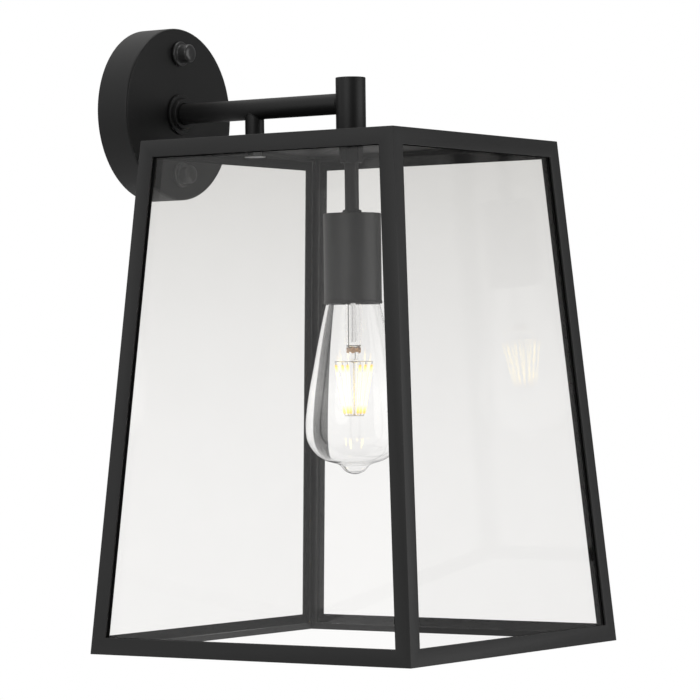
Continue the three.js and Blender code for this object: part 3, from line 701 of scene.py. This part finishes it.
# %% Bead along paths
def beads(name, paths, radius, ripple, pitch, seed, finish, closed=False, fold=60):
    """Seam beads along several paths, as one piece."""
    shape = bmesh.new()
    for path in paths:
        spots = [shape.verts.new(p) for p in path]
        for a, b in zip(spots, spots[1:] + (spots[:1] if closed else [])):
            shape.edges.new((a, b))
    thing = with_tree(plain_object(name, shape), seam_bead, Radius=radius, Ripple=ripple,
                      Pitch=pitch, Seed=seed, Material=finish.material)
    return settled(thing, finish, "lantern", (), fold)


print("bead helper ready")

# %% [markdown]
# ## Copies round the axis
# The bulb's filaments, their metal tabs and their spokes all stand evenly
# round the bulb. One small tree places copies of a piece round the lantern's
# axis and makes them real.

# %% Tree for copies round the axis
def around_tree():
    graph, (_, piece, count, turn, material) = recipe(
        "copies_round_axis", {"Piece": "Object", "Count": "Int", "Turn": "Float"})
    spots = graph.node("GeometryNodePoints", {}, {"Count": count, "Position": (0, axis_y, 0)})
    index = graph.node("GeometryNodeInputIndex", {}, {})
    spin = graph.node("ShaderNodeCombineXYZ", {}, {"Z": index / count * (2 * math.pi) + turn})
    shape = graph.node("GeometryNodeObjectInfo", {}, {"Object": piece}, "Geometry")
    placed = graph.node("GeometryNodeInstanceOnPoints", {}, {
        "Points": spots, "Instance": shape, "Rotation": spin})
    return given_out(graph, placed, material)


copies_round = around_tree()


def around(name, shape, count, turn, finish, stands_for=(), body="bulb", fold=38):
    """Copies of a shape that is drawn about the origin, set round the axis."""
    pattern = plain_object("pattern", shape)
    thing = with_tree(plain_object(name, bmesh.new()), copies_round,
                      Piece=pattern, Count=count, Turn=turn, Material=finish.material)
    bpy.data.objects.remove(pattern)
    return settled(thing, finish, body, stands_for, fold)


print("tree:", copies_round.name, len(copies_round.nodes), "nodes")

# %% [markdown]
# ## The welded frame
# The lantern's frame is angle and flat steel, welded, ground smooth and
# painted, so no joint shows outside. It is built here as one skin: four
# sloping sides with a window in each, an inner skin a wall's thickness
# behind, and the plate that closes the top. Every edge then gets a small
# paint-rounded bevel.

# %% Frame skin
SIDES = ("front", "right", "back", "left")
CORNERS = ("front_left", "front_right", "back_right", "back_left")
TURNS = [Matrix.Rotation(math.radians(a), 3, "Z") for a in (0, 90, 180, 270)]


def side_point(turn, u, z, depth):
    """A point on a side: u along it, depth behind its outer face."""
    spot = turn @ Vector((u, -(half_at(z) - depth), z))
    return spot + Vector((0, axis_y, 0))


def joined(shape, one, other):
    """The four faces between two rings of four corners."""
    for k in range(4):
        n = (k + 1) % 4
        shape.faces.new((one[k], one[n], other[n], other[k]))


def frame_skin():
    shape = bmesh.new()
    low_edge, high_edge = bottom_z + leg, top_z - leg
    skins = []
    for depth, top in ((0.0, top_z), (wall, plate_low_z)):
        feet, heads = ([
            shape.verts.new(side_point(turn, -(half_at(z) - depth), z, depth)) for turn in TURNS]
            for z in (bottom_z, top))
        windows = [[
            shape.verts.new(side_point(turn, s * (half_at(z) - leg), z, depth))
            for s, z in ((-1, low_edge), (1, low_edge), (1, high_edge), (-1, high_edge))]
            for turn in TURNS]
        for i, window in enumerate(windows):
            j = (i + 1) % 4
            joined(shape, [feet[i], feet[j], heads[j], heads[i]], window)
        shape.faces.new(heads)
        skins.append((feet, *windows))
    for outer, inner in zip(*skins):
        joined(shape, outer, inner)
    bmesh.ops.recalc_face_normals(shape, faces=shape.faces)
    return shape


def drill(radius, x, y):
    """A tool that drills the top plate."""
    spare = 3 * mm
    return upright(turned(rod(radius, plate_low_z - spare, top_z + spare), 40), x, y)


rod_r = half_width("threaded_rod")
strut_y = middle("strut")[1]
screw_bore = 2.7 * mm
frame_shape = carved(frame_skin(), drill(rod_r + gap, 0, axis_y), drill(screw_bore, 0, strut_y))
rails = [f"{level}_rail_{side}" for level in ("top", "bottom") for side in SIDES]
frame_nodes = ["top_plate", *rails, *(f"corner_post_{corner}" for corner in CORNERS)]
shown("welded_frame", bevelled(frame_shape, 0.38 * mm, 25), black_coat, frame_nodes)

# %% [markdown]
# ## Weld beads
# Inside the corners the beads are left as they were laid: short, rippled and
# a little uneven, then painted over. They run down each corner's crease below
# the plate and above the bottom rail, and along the plate itself.

# %% Corner welds
def crease(turn, z, inset):
    """A point in the crease between two legs, seen from inside the lantern."""
    return side_point(turn, -(half_at(z) - inset), z, inset)


def corner_welds():
    paths = []
    inset = wall + 0.25 * mm
    under = plate_low_z - 0.25 * mm
    upright_runs = ((bottom_z + 1.2 * mm, bottom_z + leg), (top_z - leg, plate_low_z - 0.6 * mm))
    for turn in TURNS:
        for low, high in upright_runs:
            paths.append([crease(turn, low, inset), crease(turn, high, inset)])
        paths.append([side_point(turn, -(half_at(under) - leg), under, inset),
                      crease(turn, under, inset)])
        paths.append([side_point(turn, half_at(under) - leg, under, inset),
                      side_point(turn, half_at(under) - inset, under, inset)])
    return paths


beads("corner_welds", corner_welds(), radius=0.85 * mm, ripple=0.22, pitch=1.6 * mm, seed=3,
      finish=black_coat)

# %% [markdown]
# ## Panes and their rubber
# Each pane is cut to the slope of its side and its edges are ground to a
# small flat, called an arris. A thin black rubber strip shows as a fine line
# between the steel and the glass, beside the legs more than along the rails.
# Their CAD shapes are right, so a merged copy of each only needs its edges
# eased, and the strip's two level runs set back.

# %% Panes and strips
def strip_shape(side, turn):
    """The strip's inner edge shows less along the top rail, and hardly at all along the bottom."""
    shape = merged_copy(f"glazing_bead_{side}")
    spread = (bottom_half - top_half) / (top_z - bottom_z)
    outwards = turn @ Vector((0, -1, 0))
    for v in shape.verts:
        if bottom_z + leg < v.co.z < top_z - leg:
            lift = 0.9 * mm if v.co.z > (top_z + bottom_z) / 2 else -1.4 * mm
            v.co += Vector((0, 0, lift)) - outwards * lift * spread
    return shape


for side, turn in zip(SIDES, TURNS):
    shown(f"pane_{side}", eased(f"glass_{side}", 0.5 * mm, 30, 1), pane_glass, [f"glass_{side}"])
    shown(f"rubber_strip_{side}", bevelled(strip_shape(side, turn), 0.12 * mm, 40),
          rubber, [f"glazing_bead_{side}"])

# %% [markdown]
# ## Canopy
# The canopy is a spun steel cup, closed towards the room and open to the
# wall. Its front edge has the small radius that spinning leaves. The arm
# passes through the middle, and the two fixing studs through holes near the
# top and the bottom.

# %% Canopy and gasket
canopy_r = half_width("canopy")
canopy_depth = depths("canopy")[1]
canopy_wall = 1.5 * mm
arm_r = half_width("arm")
arm_hole = arm_r + gap
stud_z = middle("stud_upper")[2]
stud_hole = 2.3 * mm


def canopy_shape():
    bend = 1.6 * mm
    inner_r, inner_front = canopy_r - canopy_wall, canopy_depth - canopy_wall
    spun_edge = [(canopy_r - bend + bend * math.sin(a), canopy_depth - bend + bend * math.cos(a))
                 for a in (math.radians(6 * k) for k in range(16))]
    shell = [(arm_hole, canopy_depth), *spun_edge, (canopy_r, 0), (inner_r, 0),
             (inner_r, inner_front), (arm_hole, inner_front), (arm_hole, canopy_depth)]
    hole = rod(stud_hole, 0, 2 * canopy_depth)
    return carved(out_of_wall(turned(softened(shell, 0.2 * mm, 1), 144)),
                  out_of_wall(turned(hole, 24), stud_z), out_of_wall(turned(hole, 24), -stud_z))


# The canopy, arm, flange, post and strut wear the darker mount coat, which is painted shade.
shown("canopy_shell", canopy_shape(), shaded_mount_coat, ["canopy"])
gasket_r = half_width("wall_gasket")
gasket = softened(tube(gasket_r - 2.2 * mm, gasket_r, 0, depths("wall_gasket")[1]), 0.6 * mm)
shown("foam_gasket", out_of_wall(turned(gasket, 96)), foam, ["wall_gasket"])

# %% [markdown]
# ## Behind the canopy
# A zinc-plated bar is screwed to the wall first. Two long studs stand out of
# it and carry the canopy, and a slotted brass screw holds the earth wire.

# %% Bracket, studs and earth screw
shown("bracket_bar", eased("wall_bracket", 0.25 * mm), zinc, ["wall_bracket"])
for name, z in (("stud_upper", stud_z), ("stud_lower", -stud_z)):
    stud = threaded(half_width(name), 0.3 * mm, 0.7 * mm, *depths(name))
    shown(f"{name}_thread", out_of_wall(stud, z), zinc, [name])


def slotted_screw():
    x, _, z = middle("earth_screw")
    back, end = depths("earth_screw")
    head_r, shank_r, seat = half_width("earth_screw"), 2 * mm, 2.3 * mm
    profile = softened([(0, back), (shank_r, back), (shank_r, seat), (head_r, seat),
                        (head_r, end), (0, end)], 0.5 * mm)
    slot = slab(3 * head_r, 1.0 * mm, 1.6 * mm, end)
    screw = out_of_wall(carved(turned(profile, 40), slot), z)
    screw.transform(Matrix.Translation((x, 0, 0)))
    return screw


shown("slotted_earth_screw", slotted_screw(), brass, ["earth_screw"])

# %% [markdown]
# ## Cap nuts
# Two black cap nuts close the studs. Each has a rounded collar that presses
# on the canopy and a short round knob with a low domed end. They screw off,
# so each rides on its own body.

# %% Cap nuts
def cap_nut(name):
    seat, end = depths(name)
    collar_r, knob_r = half_width(name), half_width(name) - 2.4 * mm
    step, rim, bore_end = seat + 2.4 * mm, end - 0.9 * mm, seat + 8 * mm
    body = softened([
        (0, bore_end), (stud_hole, bore_end), (stud_hole, seat), (collar_r, seat),
        (collar_r, step), (knob_r, step), (knob_r, rim), (knob_r * 0.6, end), (0, end)],
        1.15 * mm, 5)
    return out_of_wall(turned(body, 72), middle(name)[2])


for name in ("cap_nut_upper", "cap_nut_lower"):
    # The knobs wear the lighter nut coat, whose lighter colour is a painted highlight.
    shown(f"{name}_knob", cap_nut(name), lit_nut_coat, [name], name)

# %% [markdown]
# ## Terminal block
# A small nylon block joins the supply to the lantern's own lead. Its two
# screw wells are in the CAD shape already, and its moulded edges are eased.

# %% Terminal block and lead
shown("nylon_block", eased("terminal_block", 0.5 * mm), nylon, ["terminal_block"])
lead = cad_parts["lead"]
lead.data.materials.clear()
lead.data.materials.append(lead_sheath.material)
print("lead keeps its CAD shape")

# %% [markdown]
# ## Arm and its flange
# The arm is a plain tube. A stepped flange covers its hole in the canopy, and
# a hexagon nut locks it from behind. At the post it ends in a fine painted
# fillet that follows the saddle where one tube meets the other.

# %% Arm, flange and lock nut
arm_profile = softened(tube(arm_r - 1.2 * mm, arm_r, *depths("arm")), 0.3 * mm)
shown("arm_tube", out_of_wall(turned(arm_profile, 96)), shaded_mount_coat, ["arm"])


def flange_profile():
    rim, (low, high) = half_width("arm_flange"), depths("arm_flange")
    step_r, step = arm_hole + 3.1 * mm, low + 2.0 * mm
    groove = step - 0.35 * mm
    return softened([
        (arm_hole, low), (rim, low), (rim, step), (step_r + 0.8 * mm, step),
        (step_r + 0.6 * mm, groove), (step_r, groove), (step_r, high), (arm_hole, high),
        (arm_hole, low)], 0.5 * mm, 4)


shown("stepped_flange", out_of_wall(turned(flange_profile(), 96)), shaded_mount_coat, ["arm_flange"])
lock_nut = hexagon(arm_hole, 2 * (arm_hole + 3.7 * mm), *depths("arm_lock_nut"))
shown("lock_nut", out_of_wall(lock_nut), zinc, ["arm_lock_nut"])

# %% [markdown]
# ## Post and strut
# The post is a thicker tube, standing on the top plate, with its own end cap
# set a hair below the rim. A short strut nearer the wall shares the load. Its
# top is cut to sit on the arm, and a screw from below holds it to the plate.

# %% Post
post_r = half_width("post")


def post_shape():
    hole = out_of_wall(turned(rod(arm_hole, -axis_y - 2 * post_r, -axis_y), 64))
    return carved(lathed(tube(post_r - 1.5 * mm, post_r, *levels("post")), 0.45 * mm, 96), hole)


shown("post_tube", post_shape(), shaded_mount_coat, ["post"])
end_cap = rod(half_width("post_cap"), *levels("post_cap"))
shown("post_end_cap", lathed(end_cap, 0.4 * mm, 72), shaded_mount_coat, ["post_cap"])
end_plug = tube(rod_r + gap, half_width("post_plug"), *levels("post_plug"))
shown("post_end_plug", lathed(end_plug, 0.4 * mm, 64), zinc, ["post_plug"])

# %% Strut
strut_r = half_width("strut")
strut_low = levels("strut")[0]


def strut_shape():
    reach, bore_depth = 12 * mm, 9 * mm
    saddle = out_of_wall(turned(rod(arm_hole, -strut_y - reach, -strut_y + reach), 64))
    bore = turned(rod(screw_bore, strut_low - mm, strut_low + bore_depth), 32)
    bar = turned(softened(rod(strut_r, strut_low, 0), 0.3 * mm), 96)
    return carved(upright(bar, 0, strut_y), saddle, upright(bore, 0, strut_y))


shown("strut_bar", strut_shape(), shaded_mount_coat, ["strut"])

# %% [markdown]
# ## Painted fillets
# Where tube meets tube, paint and a thin weld fill the last half millimetre.
# The same bead tree makes them, with almost no ripple.

# %% Fillets at the joints
def saddle_path(small_r, big_r, place, count=64):
    """The line where a small tube meets a bigger one."""
    line = []
    for k in range(count):
        a = 2 * math.pi * k / count
        across, along = small_r * math.cos(a), small_r * math.sin(a)
        line.append(place(across, along, math.sqrt(max(big_r ** 2 - across ** 2, 0.0))))
    return line


at_post = saddle_path(arm_r + 0.1 * mm, post_r,
                      lambda x, z, out: Vector((x, axis_y + out, z)))
at_strut = saddle_path(strut_r - 0.1 * mm, arm_r + 0.15 * mm,
                       lambda x, y, out: Vector((x, strut_y + y, -out)))
beads("joint_fillets", [at_post, at_strut], radius=0.42 * mm, ripple=0.03, pitch=1.5 * mm, seed=5,
      finish=shaded_mount_coat, closed=True)

# %% Strut nut and screw
screw_low, screw_high = levels("strut_screw")
flange_t = 0.8 * mm
strut_nut = hexagon(screw_bore, 8.4 * mm, screw_low + flange_t + gap, levels("strut_nut")[1], 0.4)
shown("strut_hex_nut", upright(strut_nut, 0, strut_y), zinc, ["strut_nut"])


def strut_screw_shape():
    head_r, head_top, shank_r = half_width("strut_screw"), screw_low + flange_t, 2.4 * mm
    profile = softened([(0, screw_low), (head_r, screw_low), (head_r, head_top),
                        (shank_r, head_top), (shank_r, screw_high), (0, screw_high)], 0.25 * mm)
    long, thin = 6 * mm, 1.1 * mm
    cross = [slab(x, y, flange_t, screw_low) for x, y in ((long, thin), (thin, long))]
    return upright(carved(turned(profile, 64), *cross), 0, strut_y)


shown("strut_cross_screw", strut_screw_shape(), zinc, ["strut_screw"])

# %% [markdown]
# ## Rod, nuts and cup
# The bulb hangs from a rod through the top plate. A long hexagon nut takes
# it under the plate, and a thin one holds the cup. The rod's ends are
# threaded; between the nuts it is painted smooth.

# %% Rod and its nuts
rod_hole = rod_r + gap
rod_low, rod_high = levels("threaded_rod")
coupling_low, coupling_high = levels("coupling_nut")
cup_low, cup_high = levels("socket_cup")
rod_shape = threaded(rod_r, 0.35 * mm, 1.0 * mm, rod_low, rod_high, 3.0 * mm, 48,
                     [(rod_low, cup_high + 1 * mm), (coupling_low + 3 * mm, rod_high)])
shown("lantern_rod", upright(rod_shape), black_coat, ["threaded_rod"])
long_nut = hexagon(rod_hole, 14 * mm, coupling_low, coupling_high, math.radians(12))
shown("long_hex_nut", upright(long_nut), black_coat, ["coupling_nut"])
thin_nut = hexagon(rod_hole, 11 * mm, *levels("cup_nut"))
shown("thin_hex_nut", upright(thin_nut), black_coat, ["cup_nut"])

# %% Cup and lampholder
cup_r = half_width("socket_cup")
cup_wall = 1.2 * mm
shell_r = half_width("socket_shell")
holder_low, holder_high = levels("lampholder")


def cup_profile():
    lip, inside, ceiling = 0.35 * mm, cup_r - cup_wall, cup_high - cup_wall
    return [(rod_hole, ceiling), (inside, ceiling), (inside, cup_low), (cup_r, cup_low),
            (cup_r, cup_low + 1.6 * mm), (cup_r - lip, cup_low + 2.0 * mm),
            (cup_r - lip, cup_high), (rod_hole, cup_high), (rod_hole, ceiling)]


def holder_profile():
    holder_r, bore, hole = half_width("lampholder"), shell_r + gap, 2.5 * mm
    ceiling, shelf = holder_high - 16 * mm, holder_high - 8 * mm
    return [(rod_hole, holder_high), (holder_r, holder_high), (holder_r, holder_low),
            (bore, holder_low), (bore, ceiling), (hole, ceiling), (hole, shelf),
            (rod_hole, shelf), (rod_hole, holder_high)]


shown("spun_cup", lathed(cup_profile(), 0.55 * mm, 128, 4), grey_coat, ["socket_cup"])
shown("phenolic_holder", lathed(holder_profile(), 0.5 * mm, 96), phenolic, ["lampholder"])

# %% [markdown]
# ## Screw shells
# The holder's brass shell and the bulb's nickel cap are rolled from thin
# sheet with a round thread, so the wave is on both faces of the sheet.

# %% Rolled screw shells
SCREW_PITCH = 3.6 * mm


def rolled_shell(radius, sheet, depth, low, high, top=(), sides=96):
    """A thin tube with a rolled round thread. top carries the sheet on inwards."""
    steps = 48

    def profile(angle):
        outside = []
        for k in range(steps + 1):
            z = low + (high - low) * k / steps
            fade = max(0.0, min(1.0, (z - low) / SCREW_PITCH, (high - z) / SCREW_PITCH))
            root = 1 - thread_height(z, angle, SCREW_PITCH, rolled=True)
            outside.append((radius - depth * fade * root, z))
        inside = [(r - sheet, z) for r, z in outside]
        under = [(max(r - 0.1 * sheet, 0), z - sheet) for r, z in top]
        return outside + list(top) + under[::-1] + inside[::-1] + outside[:1]
    return turned(profile, sides)


brass_shell = rolled_shell(shell_r, 0.5 * mm, 0.5 * mm, *levels("socket_shell"))
shown("brass_screw_shell", upright(brass_shell), brass, ["socket_shell"])
shown("contact_strip", eased("centre_contact", 0.12 * mm, 30), brass, ["centre_contact"])

# %% [markdown]
# ## The bulb's glass
# The bulb is blown as a long cone that swells to a round base and ends in the
# little drawn-out tip where the mould let go. A few shares of its height and
# radius fix the outline, a smooth curve runs through them, and the wall is
# the same outline moved inwards.

# %% Bulb outline
bulb_tip, bulb_r = levels("bulb_glass")[0], half_width("bulb_glass")
cap_low, cap_top = levels("bulb_cap")
cap_r = half_width("bulb_cap")
mouth_r = cup_r - cup_wall - 0.5 * mm
neck_r = cap_r - 0.8 * mm
BASE = [(0.1, 0.004), (0.2, 0.018), (0.27, 0.04), (0.34, 0.058), (0.6, 0.082),
        (0.81, 0.125), (0.95, 0.187)]
CONE = [(0.99, 0.24), (1, 0.3), (0.93, 0.39), (0.8, 0.5), (0.62, 0.62), (0.4, 0.77), (0.17, 0.91)]


def smooth_through(points, steps=7):
    """A smooth curve through the points (Catmull-Rom)."""
    first = (-points[1][0], points[1][1])
    last = (2 * points[-1][0] - points[-2][0], 2 * points[-1][1] - points[-2][1])
    line = [Vector(p) for p in (first, *points, last)]
    curve = []
    for a, b, c, d in zip(line, line[1:], line[2:], line[3:]):
        for k in range(steps):
            t = k / steps
            curve.append(tuple(0.5 * (2 * b + (c - a) * t + (2 * a - 5 * b + 4 * c - d) * t * t
                                      + (3 * b - a - 3 * c + d) * t ** 3)))
    return curve + [tuple(points[-1])]


def moved_in(curve, by):
    """The curve shifted towards the axis, square to itself."""
    inner = []
    for i, (r, z) in enumerate(curve):
        (r0, z0), (r1, z1) = curve[max(i - 1, 0)], curve[min(i + 1, len(curve) - 1)]
        run = math.hypot(r1 - r0, z1 - z0)
        inner.append((max(r - (z1 - z0) / run * by, 0.0), z + (r1 - r0) / run * by))
    return inner


def bulb_curve():
    tall = cup_low - bulb_tip
    points = [(0.0, bulb_tip)]
    points += [(bulb_r * r, bulb_tip + tall * h) for r, h in BASE]
    points += [(mouth_r + (bulb_r - mouth_r) * r, bulb_tip + tall * h) for r, h in CONE]
    points += [(mouth_r, cup_low), (neck_r + (mouth_r - neck_r) * 0.45, (cup_low + cap_low) / 2),
               (neck_r, cap_low - gap), (neck_r, holder_low)]
    return [(min(r, bulb_r), z) for r, z in smooth_through(points)]


def blown_wall(curve, thickness, floor_r):
    """The curve, then its inner face back up. The inner floor is flat out to floor_r."""
    inner = moved_in(curve, thickness)
    first = next(i for i, (r, z) in enumerate(inner) if r > floor_r)
    inner = [(0.0, inner[first][1])] + inner[first:]
    inner[-1] = (inner[-1][0], curve[-1][1])
    return curve + inner[::-1]


bulb_profile = blown_wall(bulb_curve(), 0.75 * mm, 2.5 * mm)
shown("blown_bulb", upright(turned(bulb_profile, 112)), bulb_clear, ["bulb_glass"], "bulb")

# %% Bulb cap and its contact
shoulder_z = cap_top - 3 * mm
shoulder = [(cap_r - 0.6 * mm, cap_top - 2.6 * mm), (7.6 * mm, cap_top - 0.6 * mm),
            (4.8 * mm, cap_top)]
rolled_cap = rolled_shell(cap_r, 0.45 * mm, 0.8 * mm, cap_low, shoulder_z, shoulder)
shown("rolled_cap", upright(rolled_cap), nickel, ["bulb_cap"], "bulb")
contact_r, (low, high) = half_width("bulb_contact"), levels("bulb_contact")
solder = [(0, low), (contact_r, low), (contact_r, high - 1.2 * mm), (contact_r * 0.6, high),
          (0, high)]
shown("soldered_contact", lathed(solder, 0.5 * mm, 48, 4), brass, ["bulb_contact"], "bulb")

# %% [markdown]
# ## The glass stem
# Inside the neck a glass tube flares to meet the bulb. Its lower end is
# pressed flat round the two supply wires, with a copper-coloured seal, and a
# clear bead below it holds the filament wires. A thin exhaust tube runs up
# its middle.

# %% Stem, seal and bead
stem_low, stem_high = levels("bulb_stem")
stem_r = 5.2 * mm
flare_r = half_width("bulb_stem")


def stem_profile():
    return smooth_through([
        (0.0, stem_low + 8.2 * mm), (stem_r * 0.82, stem_low + 9.0 * mm),
        (stem_r, stem_low + 13 * mm), (stem_r, stem_high - 12 * mm),
        (stem_r * 1.15, stem_high - 7 * mm),
        (flare_r * 0.9, stem_high - 1.6 * mm), (flare_r, stem_high)], 6)


def foil(angle):
    """The seal's copper coating has ragged edges."""
    ragged = (0.6 * math.sin(3 * angle) + 0.35 * math.sin(8 * angle + 1)) * mm
    low, high = stem_low + 5.4 * mm + ragged, stem_low + 8.2 * mm - ragged
    return softened(tube(4.2 * mm, 4.8 * mm, low, high), 0.25 * mm)


stem = turned(blown_wall(stem_profile(), 0.8 * mm, 2.4 * mm), 64)
shown("stem_tube", upright(stem), stem_clear, ["bulb_stem"], "bulb")
exhaust = tube(1.1 * mm, 1.7 * mm, stem_low + 12.2 * mm, stem_high - 0.5 * mm)
shown("exhaust_tube", lathed(exhaust, 0.2 * mm, 40), stem_clear, (), "bulb")
shown("copper_seal", upright(turned(foil, 72)), copper, (), "bulb")
bead = [(0, stem_low + 0.2 * mm), (2.2 * mm, stem_low + 0.2 * mm), (3.3 * mm, stem_low + 1.6 * mm),
        (3.1 * mm, stem_low + 7.6 * mm), (0, stem_low + 7.8 * mm)]
shown("wire_bead", lathed(bead, 0.8 * mm, 48, 4), stem_clear, (), "bulb")

# %% [markdown]
# ## Filaments
# Six sticks lean out from a small foot to a ring of spokes. A stick, its two
# metal tabs and a spoke are each drawn once and copied round the axis.

# %% Sticks, tabs and spokes
foot_z, spoke_top = levels("filament_support")
spoke_z = spoke_top - 0.6 * mm
top_r, low_r, stick_r, tab_r, spoke_r = 12.3 * mm, 6.3 * mm, 0.85 * mm, 0.32 * mm, 0.28 * mm
spoke_reach = 12.9 * mm
filament_turn = math.radians(14)
lean = Matrix.Identity(4)
lean[0][2] = (top_r - low_r) / (stick_top_z - stick_low_z)
lean[0][3] = low_r - stick_low_z * lean[0][2]


def leaning(profile, sides):
    shape = turned(profile, sides)
    shape.transform(lean)
    return shape


jacket_low, jacket_top = stick_low_z + 0.8 * mm, stick_top_z - 1.2 * mm
stick = leaning(softened(rod(stick_r, jacket_low, jacket_top), 0.4 * mm), 20)
around("filament_sticks", stick, 6, filament_turn, glow, [f"filament_{i}" for i in range(1, 7)])
tabs = bmesh.new()
for low, high in ((foot_z + 0.7 * mm, jacket_low + 0.5 * mm), (jacket_top - 0.5 * mm, spoke_z)):
    tab = leaning(softened(rod(tab_r, low, high), 0.1 * mm, 2), 10)
    spare = bpy.data.meshes.new("tab")
    tab.to_mesh(spare)
    tabs.from_mesh(spare)
around("filament_tabs", tabs, 6, filament_turn, nickel)
spoke = turned(softened(rod(spoke_r, 0, 1), 0.1 * mm, 2), 10)
spoke.transform(Matrix.Translation((0, 0, spoke_z)) @ Matrix.Rotation(math.pi / 2, 4, "Y")
                @ Matrix.Diagonal((1, 1, spoke_reach, 1)))
around("filament_spokes", spoke, 6, filament_turn, nickel, ["filament_support"])

# %% Centre wire, hub and foot
foot_r, hub_r, wire_r = 6.4 * mm, 2.0 * mm, 0.45 * mm
foot_top, hub_half = foot_z + 0.7 * mm, 0.5 * mm
wire = [(0, foot_z), (foot_r, foot_z), (foot_r, foot_top), (1.2 * mm, foot_top),
        (wire_r, foot_z + 1.6 * mm), (wire_r, spoke_z - 0.8 * mm), (hub_r, spoke_z - hub_half),
        (hub_r, spoke_z + hub_half), (0, spoke_z + hub_half)]
shown("filament_foot", lathed(wire, 0.3 * mm, 40), nickel, (), "bulb")

# %% [markdown]
# ## Studio
# The lantern hangs over a plain pale floor in a white room. The white that the
# camera sees is brighter than the light the room throws on the paint, and
# three large soft lamps shape the steel.

# %% Floor
def pale_floor():
    top, foot, edge = -1.0, -1.02, 3.2
    shape = turned([(0, top), (1.5, top), (edge, top), (edge, foot), (0, foot)], 96)
    floor = plain_object("pale_floor", upright(shape))
    floor.data.shade_smooth()
    floor.data.set_sharp_from_angle(angle=math.radians(40))
    paper = Finish("pale_paper", "")
    fibres = paper.noise(60, 4.0, 0.6)
    paper.covered_with(paper.principled(
        Base_Color=paper.blend(fibres, tone(0.8), tone(0.84)), Roughness=0.9,
        Normal=paper.bump(fibres, 0.1, 0.0005)))
    floor.data.materials.append(paper.material)


pale_floor()
print("floor one metre below the arm")

# %% World and lamps
ROOM_DARK, ROOM_BRIGHT = 0.06, 0.95
BACKDROP = Vector((-0.15, 0.75, 0.64))


def white_room():
    """Plain white to the eye. As a light it is bright behind and above, and dim in front."""
    world = bpy.data.worlds.new("white_room")
    bpy.context.scene.world = world
    world.use_nodes = True
    room = Graph(world.node_tree)
    to_eye, through_glass = (room.node("ShaderNodeLightPath", {}, {}, f"Is {ray} Ray")
                             for ray in ("Camera", "Transmission"))
    way = room.node("ShaderNodeTexCoord", {}, {}, "Generated")
    along = room.node("ShaderNodeVectorMath", {"operation": "DOT_PRODUCT"}, {
        0: way, 1: BACKDROP}, "Value")
    light = (along * 0.5 + 0.5) ** 2 * ROOM_BRIGHT + ROOM_DARK
    lit, white = (room.node("ShaderNodeBackground", {}, {"Color": tone(1), "Strength": strength})
                  for strength in (light, 1.0))
    mixed = room.node("ShaderNodeMixShader", {}, {
        0: (to_eye + through_glass).held(), 1: lit, 2: white})
    room.node("ShaderNodeOutputWorld", {}, {"Surface": mixed})


def soft_lamp(name, spot, size, watts):
    lamp = bpy.data.lights.new(name, "AREA")
    lamp.shape, lamp.size, lamp.energy = "DISK", size, watts
    thing = bpy.data.objects.new(name, lamp)
    thing.location = spot
    aim = (LOOK_AT - Vector(spot)).normalized()
    thing.rotation_euler = aim.to_track_quat("-Z", "Y").to_euler()
    thing.visible_camera = False
    thing.visible_transmission = False
    bpy.context.scene.collection.objects.link(thing)


white_room()
soft_lamp("left_lamp", (-1.9, -0.3, 0.5), 1.4, 9)
soft_lamp("right_lamp", (0.55, -1.8, -0.14), 1.8, 16)
soft_lamp("top_lamp", (0.1, -0.3, 1.7), 1.0, 8)
bpy.context.scene.view_settings.view_transform = "Standard"
